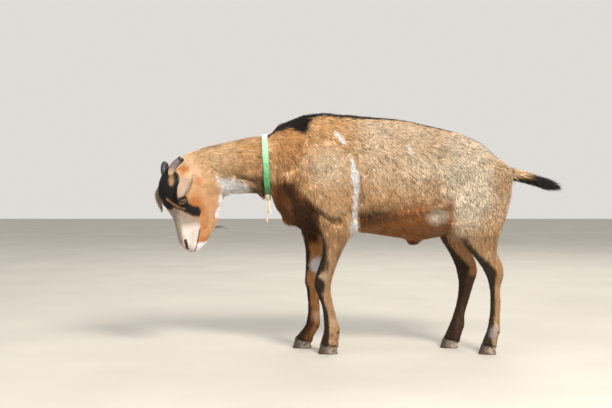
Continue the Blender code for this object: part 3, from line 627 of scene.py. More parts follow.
    # legs: black down the front, rust behind, pale at the fetlocks
    share = legShare(p) + 0.05 * ragged
    onLeg = np.column_stack([share, z, 0 * z])
    legs = np.maximum(w["front"], w["hind"])
    near, low = y < 0, 1 - ramp(z, 0.062, 0.085)
    rust = np.maximum(rust, legs * (0.22 + 0.15 * broad + 0.42 * (1 - near)))
    cream = np.maximum(cream * (1 - 0.6 * legs), 0.16 * legs * near)
    front, hind = w["front"], w["hind"]
    stripe = np.interp(z, (0.0, 0.05, 0.08, 0.15, 0.18, 0.186, 0.192, 0.25, 0.30),
                       (0.5, 0.36, 0.34, 0.36, 0.42, 0.10, 0.26, 0.30, 0.2))
    stripe = np.where(near, stripe, np.interp(z, (0.0, 0.06, 0.15, 0.16, 0.19, 0.20, 0.26),
                                              (0.5, 0.25, 0.20, 0.08, 0.08, 0.24, 0.14)))
    shin = front * (1 - ramp(share, stripe - 0.05, stripe + 0.06)) * (1 - ramp(z, 0.27, 0.31))
    knee = front * near * ball(onLeg, (0.30, 0.164, 0), (0.34, 0.017, 1), 0.3)
    hole = ball(onLeg, (0.22, 0.163, 0), (0.10, 0.006, 1), 0.4)
    black = np.maximum(black, 0.95 * np.maximum(shin, knee * (1 - hole)))
    arm = insideOf(x + 0.002 * ragged, z, [
        (0.006, 0.3075), (0.0154, 0.303), (0.0224, 0.279), (0.0248, 0.2513), (0.0248, 0.2232),
        (0.0201, 0.200), (-0.0103, 0.200), (-0.001, 0.2232), (0.0037, 0.2513), (0.0014, 0.279)], 0.003)
    arm = np.maximum(0.95 * arm, 0.70 * ball(flat, (0.024, 0, 0.216), (0.007, 1, 0.017), 0.6))
    black = np.maximum(black, arm * near)
    whiteKnee = front * ~near * ball(onLeg, (0.62, 0.207, 0), (0.40, 0.019, 1), 0.25)
    white = np.maximum(white, 0.95 * whiteKnee)
    black *= 1 - white * front
    cream = np.maximum(cream, 0.5 * front * near * ball(onLeg, (0.45, 0.187, 0),
                                                        (0.30, 0.012, 1), 0.6))
    cream = np.maximum(cream, 0.5 * front * np.exp(-((z - 0.080) / 0.012) ** 2) * ramp(share, 0.35, 0.6))
    stripe = np.interp(z, (0.0, 0.06, 0.17, 0.20, 0.24, 0.29), (0.75, 0.42, 0.45, 0.62, 0.28, 0.10))
    shin = hind * (1 - ramp(share, stripe - 0.06, stripe + 0.06)) * (1 - ramp(z, 0.27, 0.30))
    dusky = hind * ~near * (1 - ramp(z + 0.010 * ragged, 0.172, 0.200)) * 0.80
    black = np.maximum(black, np.maximum(0.93 * shin, dusky))
    rust = np.maximum(rust, 0.95 * hind * ~near * np.exp(-((z - 0.200) / 0.012) ** 2))
    white = np.maximum(white, 0.40 * hind * near * ball(onLeg, (0.7, 0.055, 0),
                                                        (0.5, 0.016, 1), 0.4))
    black = np.maximum(black, 0.75 * front * ~near * low * (1 - ramp(share, 0.45, 0.7)))
    sheath = ball(p, (0.236, 0, 0.266), (0.014, 0.014, 0.010), 0.4)
    black = np.maximum(black, 0.75 * sheath)

    # tail: tan at its root, black beneath and at its end
    black = np.maximum(black, w["tail"] * np.maximum(ramp(w["tailShare"], 0.035, 0.075),
                                                     ramp(-normals[:, 2], 0.0, 0.5)))

    # head, in its own side view: a runs down the face and s back towards the throat
    a, o, u = h.T
    s = 0.5 * np.abs(o) - 0.866 * u + 0.002 * ragged
    a = a + 0.002 * ragged
    on = w["head"]
    flat = np.column_stack([a, s, 0 * a])
    orange = 0 * a
    for strength, middle, radii, edge in (
            (1.0, (0.025, 0.017, 0), (0.012, 0.013, 1), 0.6),
            (0.7, (0.054, 0.047, 0), (0.010, 0.010, 1), 0.6),
            (0.9, (0.110, 0.036, 0), (0.024, 0.012, 1), 0.6),
            (0.7, (0.150, 0.050, 0), (0.048, 0.012, 1), 0.6),
            (0.8, (0.193, 0.045, 0), (0.010, 0.016, 1), 0.5)):
        orange = np.maximum(orange, strength * ball(flat, middle, radii, edge))
    deep = ramp(w["cut"] + 0.005 * ragged, 0.0, 0.035)
    rust = rust * (1 - on) + on * (0.12 + 0.33 * deep + 0.15 * broad + 0.40 * orange * deep)
    # pale at the poll, and a pale spot on the crown that is a painted highlight
    peachAndHighlight = np.maximum(1 - ramp(a, 0.01, 0.05), ball(flat, (0.038, 0.040, 0), (0.018, 0.020, 1), 0.5))
    peachAndHighlight *= 1 - orange
    rust *= 1 - 0.35 * on * peachAndHighlight * deep
    cream = cream * (1 - on) + on * (0.18 * (1 - orange) + 0.26 * peachAndHighlight * deep)
    black *= 1 - on
    white *= 1 - on
    mask = [
        (0.008, -0.060), (0.121, -0.060), (0.1215, -0.0190), (0.112, -0.0165), (0.1194, 0.0006),
        (0.1276, 0.0114), (0.1363, 0.0265), (0.1415, 0.0441), (0.1287, 0.0475), (0.1166, 0.0450),
        (0.1115, 0.0292), (0.1030, 0.0215), (0.090, 0.0200), (0.084, 0.010), (0.0604, 0.0095),
        (0.039, 0.0062), (0.0289, 0.0), (0.016, -0.006)]
    face = insideOf(a, s, mask, 0.0022) * on
    black = np.maximum(black, face)
    muzzle = [
        (0.1215, -0.060), (0.240, -0.060), (0.240, 0.0275), (0.2068, 0.0282), (0.1905, 0.0345),
        (0.1764, 0.0390), (0.160, 0.0425), (0.1428, 0.0425), (0.1387, 0.0263), (0.1290, 0.0114),
        (0.1210, 0.0006), (0.116, -0.012)]
    muzzle = insideOf(a, s, muzzle, 0.0020) * on
    # the muzzle's own grey and white, with extra grey up the bridge as painted shade and extra white lower
    # down as painted light
    litMuzzle = ramp(a, 0.148, 0.166) * ramp(s, -0.006, 0.004)
    white = np.maximum(white, muzzle * (0.13 + 0.37 * litMuzzle))
    rust *= 1 - muzzle
    cream = np.maximum(cream * (1 - muzzle), 0.46 * muzzle)
    black = np.maximum(black * (1 - muzzle), muzzle * (0.35 + 0.24 * (1 - litMuzzle)))
    black = np.maximum(black, 0.45 * on * ball(flat, (0.152, 0.033, 0), (0.007, 0.008, 1), 0.6))
    white = np.maximum(white, 0.95 * on * ramp(a, 0.199, 0.204) * ramp(s, 0.023, 0.029))
    stripe, share = toRoute(flat, ((0.0907, -0.0278, 0), (0.1011, -0.0164, 0), (0.1118, -0.003, 0),
                                   (0.1178, 0.0104, 0)))
    tanStripe = (1 - ramp(stripe, 0.0012, 0.0034)) * on * ramp(np.abs(o), 0.004, 0.008)
    tanStripe *= 1 - 0.5 * ramp(share, 0.6, 1)
    black *= 1 - 0.8 * tanStripe
    brow = on * ball(flat, (0.047, -0.0125, 0), (0.014, 0.0075, 1), 0.4)
    brow *= 0.35 + 0.65 * ramp(ragged, -0.4, 0.3)
    black *= 1 - 0.8 * brow
    rust = np.maximum(rust, 0.6 * brow)
    jaw, share = toRoute(flat, ((0.072, 0.107, 0), (0.080, 0.104, 0), (0.112, 0.094, 0), (0.129, 0.087, 0),
                                (0.1426, 0.081, 0)))
    rim = 1 - ramp(jaw, 0.004, 0.009 - 0.004 * share)
    white = np.maximum(white, 0.9 * rim * on)

    # ears: short pinkish-grey hair, dark at the tip, and on the near ear dark along the rear edge, which is
    # painted shade under its rim
    on = w["ear"]
    rear = (a - 0.044) * 0.507 + (s - 0.0319) * 0.861
    # on the near ear, black along the rear edge: painted shade under the rim
    edge = np.where(o > 0, ramp(rear, 0.0055, 0.0095), 0.38 + 0 * a)
    rust = rust * (1 - on) + 0.22 * on * (o > 0)
    cream = cream * (1 - on) + 0.60 * on
    black = black * (1 - on) + on * (0.14 + 0.62 * np.maximum(edge, ramp(w["earShare"], 0.80, 1)))
    white *= 1 - on
    return np.clip(np.column_stack([rust, cream, black, white]), 0, 1)


def flecks(w, marks):
    # shares of locks that come out darker and paler than the coat about them
    p = w["p"]
    below = crestAbove(p)
    trunk = (1 - w["head"]) * (1 - w["neck"]) * (1 - w["front"]) * (1 - w["hind"])
    nape = ramp(-p[:, 0], 0.15, 0.24)
    darker = 0.04 + 0.18 * trunk + 0.22 * w["neck"] * (1 - 0.75 * nape) + 0.02 * (w["front"] + w["hind"])
    darker += 0.22 * trunk * ramp(-p[:, 0], -0.02, 0.06) * ramp(below, 0.06, 0.14)
    # fewer dark locks on the shoulder: partly paler coat, partly a painted highlight
    darker *= 1 - 0.8 * ball(p * (1, 0, 1), (0.03, 0, 0.44), (0.055, 1, 0.07), 0.5)
    darker *= 1 - 0.45 * ramp(p[:, 0], 0.28, 0.36) * (1 - 0.4 * ramp(p[:, 0], 0.36, 0.42))
    paler = 0.05 + 0.26 * trunk * ramp(p[:, 0], 0.0, 0.12) + 0.14 * w["neck"]
    quiet = 1 - np.maximum(marks[:, 0] * 0.7, marks[:, 3])
    return darker * quiet, paler * quiet


def lieOfCoat(points, normals, w):
    # the way the hair lies, along the skin
    p, h = w["p"], w["h"]
    x, y, z = p.T
    up = normals[:, 2]
    side = ramp(1 - up, 0.05, 0.75)
    under = ramp(-up, 0.35, 0.9)
    fall = 14 + 52 * side - 56 * under + 18 * side * ramp(x, 0.27, 0.38)
    fall = np.radians(fall + 9 * softNoise(points, 0.05, 11))
    flow = np.column_stack([np.cos(fall), 0 * x, -np.sin(fall)])
    breast = ramp(-normals[:, 0], 0.25, 0.7) * (1 - w["neck"]) * (z < 0.47)
    flow += breast[:, None] * (np.array((0.1, 0, -1.6)) - flow)
    neckFall = np.radians(4 + 30 * side - 26 * under + 8 * softNoise(points, 0.04, 12))
    neckFlow = np.column_stack([np.cos(neckFall), 0.18 + 0 * x, -np.sin(neckFall)])
    flow += w["neck"][:, None] * (neckFlow - flow)
    legFlow = np.column_stack([0.16 + 0.1 * softNoise(points, 0.03, 13), 0 * x, -1 + 0 * x])
    flow += np.maximum(w["front"], w["hind"])[:, None] * (legFlow - flow)
    flow += w["tail"][:, None] * (tailAxis - flow)
    spoke = (p - np.array(body["whorl"])) * (1, 0, 1)
    away = np.linalg.norm(spoke, axis=1, keepdims=True)
    swirl = np.cross(spoke, (0, 1, 0)) * np.sign(y)[:, None] * 0.9 + spoke * 0.5
    near = (1 - ramp(away[:, 0], 0.016, 0.036)) * (np.abs(y) > 0.04)
    flow += near[:, None] * (unit(swirl) - flow)

    turnUp = ramp(h[:, 2], 0.0, 0.03)
    back = np.column_stack([-0.65 - 0.35 * turnUp, 0.15 * np.sign(h[:, 1]), -0.95 * (1 - turnUp)])
    back[:, 2] -= 0.9 * ramp(-h[:, 0], -0.03, 0.01)
    headFlow = back @ headAxes
    flow += w["head"][:, None] * (headFlow - flow)
    for route in earRoutes():
        close, _ = aboutEar(points, route)
        flow += (close * w["ear"])[:, None] * (unit(route[-1] - route[0]) - flow)
    flow -= normals * (flow * normals).sum(axis=1, keepdims=True)
    return unit(flow)


def coatDepth(w):
    # how far the skin lies under the tips of the coat
    p, h = w["p"], w["h"]
    depth = np.full(len(p), 0.0064)
    depth += w["neck"] * (0.0056 - depth)
    under = ramp(hemHeight(p[:, 0]) - p[:, 2], -0.010, 0.004)
    under *= ramp(p[:, 0], 0.09, 0.11) * (1 - ramp(p[:, 0], 0.30, 0.33))
    depth += under * (0.0035 - depth)
    legs = np.maximum(w["front"], w["hind"])
    legDepth = 0.0017 + 0.0035 * ramp(p[:, 2], 0.17, 0.30)
    depth += legs * (legDepth - depth)
    tailDepth = 0.0085 - 0.0050 * ramp(w["tailShare"], 0.06, 0.125)
    depth += w["tail"] * (tailDepth - depth)
    headDepth = 0.0016 + 0.0026 * (1 - ramp(h[:, 0], -0.01, 0.05))
    depth += w["head"] * (headDepth - depth)
    return depth


collar = {
    "top": (-0.1245, 0.528),  # x and height where the strap crosses the nape, and then the throat
    "bottom": (-0.1160, 0.383),
    "middle": (-0.003, 0.452),  # y and height of the middle of the neck there
    "width": 0.0142,
    "thickness": 0.0022,
    "sunk": 0.0012,  # how far the strap sinks into the coat
    "spots": 150,
    "threadPitch": 0.0011,
}
horns = {
    # colours along the left and the right horn, from root to tip. The violet-grey in the left horn's middle
    # and the blue-grey of the right horn are partly their own grey, partly painted sky reflection; the pale
    # end of the right horn is a painted highlight
    "bands": (((0.30, "#C9AE86"), (0.42, "#8A7466"), (0.55, "#6F666C"), (0.80, "#5B5358"), (0.84, "#15110F"),
               (0.91, "#171311"), (0.95, "#8D8072"), (1.0, "#B5A98F")),
              ((0.30, "#6B5A4C"), (0.45, "#2A2A33"), (0.75, "#1E2028"), (0.88, "#3A3A40"),
               (0.97, "#B9B3A6"))),
    "left": ((0.046, 0.017, 0.012), (0.031, 0.020, 0.024), (0.012, 0.026, 0.018), (-0.005, 0.036, -0.0015)),
    "right": ((0.046, -0.017, 0.012), (0.031, -0.019, 0.024), (0.016, -0.022, 0.025), (0.003, -0.027, 0.016)),
    "radii": (0.0108, 0.0106, 0.0098, 0.0088),
    "flatness": 0.85,
    "rings": 13,
    "ringHeight": 0.00042,
}


# The skin: every node of flesh fused into one surface, drawn in by the depth of the coat

skinPlan = {
    "voxel": 0.004,
    "softening": 10,
    "vent": (0.462, 0.0, 0.405),
    "rumpTaper": 0.17,  # how much narrower the thighs come together at their rear
    "faceEnd": -0.28,  # x that all of the face lies before
    "eyePlace": (0.098, 0.0405, 0.0135),
    "eyeRadius": 0.0125,
    "gaze": (0.18, 0.90, 0.38),
    "slit": (0.55, 0.0, 0.83),  # the way from the outer corner of the eye to the inner one
    "lidWidth": 50,  # degrees from the middle of the eye to its corners
    "lidUpper": 27,
    "lidLower": 21,
    "lidThickness": 0.0016,
    "nose": (0.2145, 0.0, 0.000),  # middle of the bare skin, and its radii
    "noseRadii": (0.010, 0.013, 0.010),
    "mouth": ((0.230, -0.0185), (0.2213, -0.0199), (0.2068, -0.0214), (0.1905, -0.0262), (0.1764, -0.0296),
              (0.1650, -0.0325)),
    "nostril": ((0.2150, 0.0085, -0.0040), (0.2060, 0.0140, 0.0005), (0.1945, 0.0165, 0.0035)),
}
fleshNodes = ["trunk", "neck", "head", "tail"] + [
    f"leg_{end}_{side}_{part}" for end in ("front", "hind") for side in ("left", "right")
    for part in ("upper", "lower")]


def fuseFlesh():
    skin = mergedNodes("skin", fleshNodes + ["eye_left", "eye_right"])
    addModifier(skin, "DISPLACE", strength=0.0005, mid_level=0)
    addModifier(skin, "REMESH", mode="VOXEL", voxel_size=skinPlan["voxel"])
    addModifier(skin, "SMOOTH", factor=0.5, iterations=skinPlan["softening"])
    baked(skin)
    points, normals = pointsOf(skin.data), normalsOf(skin.data)
    w = weights(points)
    setPoints(skin.data, points - normals * coatDepth(w)[:, None])
    addModifier(skin, "SMOOTH", factor=0.5, iterations=3)
    return baked(skin)


reliefs = {
    # places in x and height on each side of the trunk, reach across them, and height of the form
    "shoulderGroove": (((0.082, 0.490), (0.098, 0.440), (0.104, 0.390), (0.102, 0.330)), 0.012, -0.0045),
    "elbowCrease": (((-0.032, 0.378), (-0.010, 0.352), (0.018, 0.333), (0.044, 0.315)), 0.0065, -0.0060),
    "upperArm": (((0.002, 0.392), (0.050, 0.358)), 0.022, 0.0045),
    "bladeRidge": (((0.004, 0.545), (0.000, 0.480), (-0.040, 0.425)), 0.010, 0.0022),
    "bladeHollow": (((-0.028, 0.530), (-0.034, 0.480), (-0.066, 0.445)), 0.012, -0.0030),
    "shoulderPoint": (((-0.064, 0.415), (-0.060, 0.408)), 0.018, 0.0040),
    "jugularGroove": (((-0.205, 0.432), (-0.115, 0.404)), 0.009, -0.0030),
    "flankHollow": (((0.278, 0.494), (0.298, 0.480)), 0.030, -0.0060),
    "hipBone": (((0.330, 0.522), (0.346, 0.513)), 0.012, 0.0042),
    "pinBone": (((0.440, 0.452), (0.450, 0.445)), 0.012, 0.0035),
    "flankFold": (((0.298, 0.392), (0.305, 0.352), (0.322, 0.316)), 0.008, 0.0040),
    "flankWhorl": (((0.287, 0.334), (0.289, 0.333)), 0.011, -0.0080),
    "thighGroove": (((0.398, 0.455), (0.412, 0.392), (0.408, 0.325)), 0.009, -0.0032),
    "thighFront": (((0.345, 0.440), (0.340, 0.365)), 0.020, 0.0030),
}


def addRelief(skin):
    # muscles, bones and creases under the coat, the same on both sides
    points, normals = pointsOf(skin.data), normalsOf(skin.data)
    w = weights(points)
    p = w["p"]
    facing = ramp(np.abs(normals[:, 1]), 0.12, 0.5) * (1 - w["head"]) * (1 - w["tail"])
    flat = p * (1, 0, 1)
    move = np.zeros(len(p))
    for route, reach, height in reliefs.values():
        away, _ = toRoute(flat, [(x, 0, z) for x, z in route])
        move += height * np.exp(-(away / reach) ** 2)
    points += normals * (move * facing)[:, None]
    narrow = ramp(p[:, 0], 0.395, 0.475) * ramp(p[:, 2], 0.24, 0.34) * (1 - w["tail"])
    points[:, 1] -= skinPlan["rumpTaper"] * narrow * p[:, 1]
    away = np.linalg.norm((p - skinPlan["vent"]) * (0.3, 1, 1), axis=1)
    points -= normals * (0.0055 * np.exp(-(away / 0.007) ** 2))[:, None]
    setPoints(skin.data, points)


legBins = 34
legStep = 0.008
legSpans = {}


def measureLegs(points):
    # how far each leg reaches fore and aft at each height
    p = onBody(points)
    for end, inside in (("front", p[:, 0] < body["forelegEnd"]), ("hind", p[:, 0] > body["hindlegStart"])):
        for side, sign in (("left", -1), ("right", 1)):
            mine = inside & (p[:, 1] * sign > 0.012) & (p[:, 2] < legBins * legStep)
            row = (p[mine, 2] / legStep).astype(int)
            low, high = np.full(legBins, 9.0), np.full(legBins, -9.0)
            np.minimum.at(low, row, p[mine, 0])
            np.maximum.at(high, row, p[mine, 0])
            legSpans[end, side] = low, high


def legShare(p):
    # 0 at the front of a leg and 1 at its rear
    share = np.full(len(p), 0.5)
    heights = (np.arange(legBins) + 0.5) * legStep
    for (end, side), (low, high) in legSpans.items():
        mine = (p[:, 0] < body["forelegEnd"]) == (end == "front")
        mine &= (p[:, 1] < 0) == (side == "left")
        front, rear = np.interp(p[:, 2], heights, low), np.interp(p[:, 2], heights, high)
        share = np.where(mine, (p[:, 0] - front) / np.maximum(rear - front, 0.005), share)
    return share


def shapeLegs(skin):
    # tendons standing off the cannon bones, hollows before the hocks, and the knee and fetlock joints
    points, normals = pointsOf(skin.data), normalsOf(skin.data)
    w = weights(points)
    p = w["p"]
    share = legShare(p)
    facing = ramp(np.abs(normals[:, 1]), 0.25, 0.75)
    z = p[:, 2]
    cannon = w["front"] * ramp(z, 0.070, 0.085) * (1 - ramp(z, 0.130, 0.150))
    cannon += w["hind"] * ramp(z, 0.070, 0.085) * (1 - ramp(z, 0.165, 0.185))
    move = -0.0016 * np.exp(-((share - 0.60) / 0.10) ** 2) * cannon * facing
    hollow = w["hind"] * ramp(z, 0.205, 0.220) * (1 - ramp(z, 0.250, 0.275))
    move += -0.0032 * np.exp(-((share - 0.72) / 0.13) ** 2) * hollow * facing
    knee = w["front"] * np.exp(-((z - 0.168) / 0.012) ** 2)
    move += 0.0012 * knee * ramp(-normals[:, 0], 0.1, 0.7)
    fetlock = (w["front"] + w["hind"]) * np.exp(-((z - 0.060) / 0.009) ** 2)
    move += 0.0012 * fetlock * ramp(normals[:, 0], -0.2, 0.6)
    setPoints(skin.data, points + normals * move[:, None])


def refine(skin, chosen, cuts):
    # finer faces where the chosen vertices are, softened so that they lie on the curve
    builder = bmesh.new()
    builder.from_mesh(skin.data)
    builder.verts.ensure_lookup_table()
    picked = chosen(pointsOf(skin.data))
    edges = [edge for edge in builder.edges if picked[edge.verts[0].index] and picked[edge.verts[1].index]]
    bmesh.ops.subdivide_edges(builder, edges=edges, cuts=cuts, use_grid_fill=True)
    bmesh.ops.triangulate(builder, faces=[face for face in builder.faces if len(face.verts) > 4])
    builder.verts.ensure_lookup_table()
    builder.verts.index_update()
    points = np.array([vertex.co for vertex in builder.verts])
    soft = [vertex for vertex, inside in zip(builder.verts, chosen(points)) if inside]
    for _ in range(3):
        bmesh.ops.smooth_vert(builder, verts=soft, factor=0.5, use_axis_x=True, use_axis_y=True,
                              use_axis_z=True)
    builder.to_mesh(skin.data)
    builder.free()


def nearHead(points):
    w = weights(points)
    return (w["head"] > 0.5) & (w["h"][:, 0] > -0.02)


def toMouth(h):
    # distance to the line of the lips in the head's side view, and how far back along it
    return toRoute(np.column_stack([h[:, 0], h[:, 2], 0 * h[:, 0]]),
                   [(a, u, 0) for a, u in skinPlan["mouth"]])


def nearDetail(points):
    # round the eyes, nostrils and mouth
    h = folded(onHead(points))
    eye = np.linalg.norm(h - np.array(skinPlan["eyePlace"]), axis=1) < 0.0245
    muzzle = (h[:, 0] > 0.188) & (h[:, 2] > -0.035)
    return (points[:, 0] < skinPlan["faceEnd"]) & (eye | muzzle | (toMouth(h)[0] < 0.008))


def folded(h):
    # places on the head, all brought to its left
    return np.column_stack([h[:, 0], np.abs(h[:, 1]), h[:, 2]])


def eyeAxes():
    # the eye's own axes on the left of the head: forward along the slit, up, and out along the gaze
    gaze = unit(np.array(skinPlan["gaze"]))
    slit = np.array(skinPlan["slit"])
    slit = unit(slit - gaze * (slit @ gaze))
    return np.array([slit, np.cross(slit, gaze), gaze])


def fromEye(h):
    # places on the left of the head in the eye's own axes, their distance, and degrees across and up
    local = (h - np.array(skinPlan["eyePlace"])) @ eyeAxes().T
    turn = np.degrees(np.arctan2(local[:, 0], local[:, 2]))
    lift = np.degrees(np.arctan2(local[:, 1], np.hypot(local[:, 0], local[:, 2])))
    return local, np.linalg.norm(local, axis=1), turn, lift


def shapeFace(skin):
    # sockets and lids round the eyes, nostrils, lips and folds, by moving the skin's points
    points = pointsOf(skin.data)
    normals = normalsOf(skin.data)
    h, n = onHead(points), normals @ headAxes.T
    side = np.sign(h[:, 1])
    side[side == 0] = 1
    h[:, 1] *= side
    n[:, 1] *= side
    here = points[:, 0] < skinPlan["faceEnd"]

    radius = skinPlan["eyeRadius"]
    local, reach, turn, lift = fromEye(h)
    ahead = local[:, 2] > 0
    opening = np.clip(1 - (turn / skinPlan["lidWidth"]) ** 2, 0.0, 1) ** 0.75
    upper, lower = skinPlan["lidUpper"] * opening, -skinPlan["lidLower"] * opening
    outside = np.maximum(lift - upper, lower - lift)  # degrees beyond the lids' edge
    past = np.abs(turn) - skinPlan["lidWidth"]
    outside = np.where(past > 0, np.maximum(outside, past), outside)
    near = here & ahead & (reach < radius + 0.012)
    lidTop = radius + skinPlan["lidThickness"]
    wanted = np.where(outside < -3, radius - 0.004, np.where(outside < 0, radius - 0.0008, lidTop))
    fold = 0.0010 * np.exp(-((outside - 15) / 4) ** 2) * (lift > 0)  # crease above the upper lid
    wanted = wanted - fold
    hold = (1 - ramp(outside, 12, 38)) * near
    grown = unit(local) * (reach + hold * (wanted - reach))[:, None]
    h = np.where(near[:, None], grown @ eyeAxes() + skinPlan["eyePlace"], h)

    lip = np.array(skinPlan["mouth"])
    away, share = toMouth(h)
    above = h[:, 2] - np.interp(-h[:, 0], -lip[:, 0], lip[:, 1])
    onMuzzle = here & (h[:, 0] > 0.150)
    fade = 1 - ramp(share, 0.80, 1.0)
    groove = -0.0034 * np.exp(-(away / 0.0017) ** 2) * fade
    lipRoll = 0.0012 * np.exp(-((away - 0.0042) / 0.0022) ** 2) * fade * np.where(above > 0, 1.0, 0.7)
    philtrum = -0.0014 * np.exp(-(h[:, 1] / 0.0016) ** 2) * ramp(h[:, 0], 0.206, 0.214)
    philtrum *= ramp(above, 0.0, 0.003)
    move = (groove + lipRoll + philtrum) * onMuzzle

    away, share = toRoute(h, skinPlan["nostril"])
    wide = np.interp(share, (0, 0.5, 1), (0.0032, 0.0036, 0.0020))
    pit = -0.0085 * np.exp(-(away / wide) ** 2)
    rim = 0.0012 * np.exp(-((away - 0.0058) / 0.0018) ** 2)
    move += (pit + rim) * here * (h[:, 0] > 0.18)

    # tear furrow, cheek crest, and small folds where the jaw meets the neck
    tear, _ = toRoute(h, ((0.112, 0.044, 0.018), (0.124, 0.039, 0.012), (0.138, 0.034, 0.006)))
    move += -0.0012 * np.exp(-(tear / 0.0022) ** 2) * here
    crest, _ = toRoute(h, ((0.085, 0.049, 0.004), (0.115, 0.044, -0.006), (0.140, 0.037, -0.016)))
    move += 0.0012 * np.exp(-(crest / 0.006) ** 2) * here
    h += n * move[:, None]
    h[:, 1] *= side
    setPoints(skin.data, np.where(here[:, None], fromHead(h), points))


def makeEar(side):
    # a leaf-shaped ear, curled along its length, with a thick rounded rim
    facing = np.array(ears[side + "Facing"]) @ headAxes
    centres = smoothRoute([fromHead(place) for place in ears[side]], 22)
    headings = unit(np.gradient(centres, axis=0))
    rings = []
    across = np.linspace(-1, 1, 21)
    for index, (centre, heading) in enumerate(zip(centres, headings)):
        share = index / (len(centres) - 1)
        half = ears["width"] / 2 * min(1, max(0.08, (0.55 + 1.6 * share) * (1 - share ** 2.4)))
        normal = unit(facing - heading * (facing @ heading))
        cross = np.cross(normal, heading)
        wave = 0.05 * math.sin(share * 9) * across ** 2
        fold = 0.20 * half * np.exp(-((across + 0.42) / 0.13) ** 2) * math.sin(math.pi * min(1, 1.15 * share))
        hollow = (across ** 2 - 0.4) * ears["curl"] * half * (1.25 - 0.4 * share) + wave * half + fold
        thick = ears["thickness"] / 2 * np.sqrt(np.clip(1 - across ** 4, 0, 1)) * (1.6 - 0.9 * share)
        front = centre + np.outer(across * half, cross) + np.outer(hollow + thick, normal)
        rear = centre + np.outer(across * half, cross) + np.outer(hollow - thick, normal)
        rings.append(np.vstack([front, rear[-2:0:-1]]))
    sides = len(rings[0])
    return tube(side + "Ear", centres, lambda index, *_: rings[index], sides)


def buildSkin():
    skin = fuseFlesh()
    print("flesh fused,", len(skin.data.polygons), "faces")
    addRelief(skin)
    measureLegs(pointsOf(skin.data))
    shapeLegs(skin)
    refine(skin, nearHead, 1)
    refine(skin, nearDetail, 1)
    shapeFace(skin)
    for side in ("left", "right"):
        ear = makeEar(side)
        addModifier(skin, "BOOLEAN", object=ear, operation="UNION", solver="MANIFOLD")
        baked(skin)
        bpy.data.objects.remove(ear, do_unlink=True)
    skin.data.shade_smooth()
    print("skin shaped,", len(skin.data.polygons), "faces")
    return skin


skin = buildSkin()
skinPoints, skinNormals = pointsOf(skin.data), normalsOf(skin.data)


# Colours of the coat, shared by the skin and the hair

coatColours = {
    "tan": "#D8AC78",
    "rust": "#BC7029",
    "cream": "#EEDFC8",
    "black": "#17120F",
    "white": "#FAF9FB",
}


def mixMarkings(tree):
    # the markings as one colour, from the shares stored on the piece
    marks = addNode(tree, "ShaderNodeAttribute", attribute_name="marks")
    shares = addNode(tree, "ShaderNodeSeparateColor", {"Color": marks.outputs["Color"]})
    colour = srgb(coatColours["tan"])
    for name, share in (("rust", shares.outputs[0]), ("cream", shares.outputs[1]),
                        ("black", shares.outputs[2]), ("white", marks.outputs["Alpha"])):
        mixed = addNode(tree, "ShaderNodeMix", {0: share, 6: colour, 7: srgb(coatColours[name])},
                        data_type="RGBA")
        colour = mixed.outputs[2]
    return colour


def makeSkinMaterial():
    # living skin under short lying hair: matt keratin down over a faintly oily hide, bare at nose and lids,
    # near black deep in the nostrils as painted shade
    material, tree = newMaterial("shortHairedHide", 0.62, 1.45,
                                 {"Specular IOR Level": 0.35, "Sheen Weight": 0.04})
    place = addNode(tree, "ShaderNodeTexCoord").outputs["Object"]
    hairs = addNode(tree, "ShaderNodeMapping", {"Vector": place, "Scale": (1400, 1400, 420)})
    fine = addNode(tree, "ShaderNodeTexNoise", {"Vector": hairs.outputs[0], "Scale": 1.0, "Detail": 2.0})
    broad = addNode(tree, "ShaderNodeTexNoise", {"Vector": place, "Scale": 60.0, "Detail": 3.0})
    tone = addNode(tree, "ShaderNodeMapRange", {0: fine.outputs["Fac"], 1: 0.3, 2: 0.7, 3: 0.72, 4: 1.12})
    vary = addNode(tree, "ShaderNodeMapRange", {0: broad.outputs["Fac"], 1: 0.3, 2: 0.7, 3: 0.86, 4: 1.10})
    both = addNode(tree, "ShaderNodeMath", {0: tone.outputs[0], 1: vary.outputs[0]}, operation="MULTIPLY")
    shaded = addNode(tree, "ShaderNodeVectorMath", {0: mixMarkings(tree), "Scale": both.outputs[0]},
                     operation="SCALE")
    bare = addNode(tree, "ShaderNodeAttribute", attribute_name="bare")
    parts = addNode(tree, "ShaderNodeSeparateXYZ", {0: bare.outputs["Vector"]})
    pink = addNode(tree, "ShaderNodeMix", {0: broad.outputs["Fac"], 6: srgb("#8A7064"), 7: srgb("#B4968A")},
                   data_type="RGBA")
    withPink = addNode(tree, "ShaderNodeMix", {0: parts.outputs[0], 6: shaded.outputs[0], 7: pink.outputs[2]},
                       data_type="RGBA")
    # dark skin of nostrils, lips and lids, going near black deep in the nostrils: painted shade
    darkSkinAndNostrilShade = addNode(tree, "ShaderNodeMix", {0: parts.outputs[2], 6: srgb("#2C211D"), 7: srgb("#050403")},
                    data_type="RGBA")
    withDark = addNode(tree, "ShaderNodeMix",
                       {0: parts.outputs[1], 6: withPink.outputs[2], 7: darkSkinAndNostrilShade.outputs[2]},
                       data_type="RGBA")
    pores = addNode(tree, "ShaderNodeTexVoronoi", {"Vector": place, "Scale": 900.0})
    grain = addNode(tree, "ShaderNodeMix", {0: parts.outputs[0], 2: fine.outputs["Fac"],
                                            3: pores.outputs["Distance"]})
    bump = addNode(tree, "ShaderNodeBump", {"Height": grain.outputs[0], "Strength": 0.55, "Distance": 0.0006})
    wire(tree, {"Base Color": withDark.outputs[2], "Normal": bump.outputs[0]})
    return material


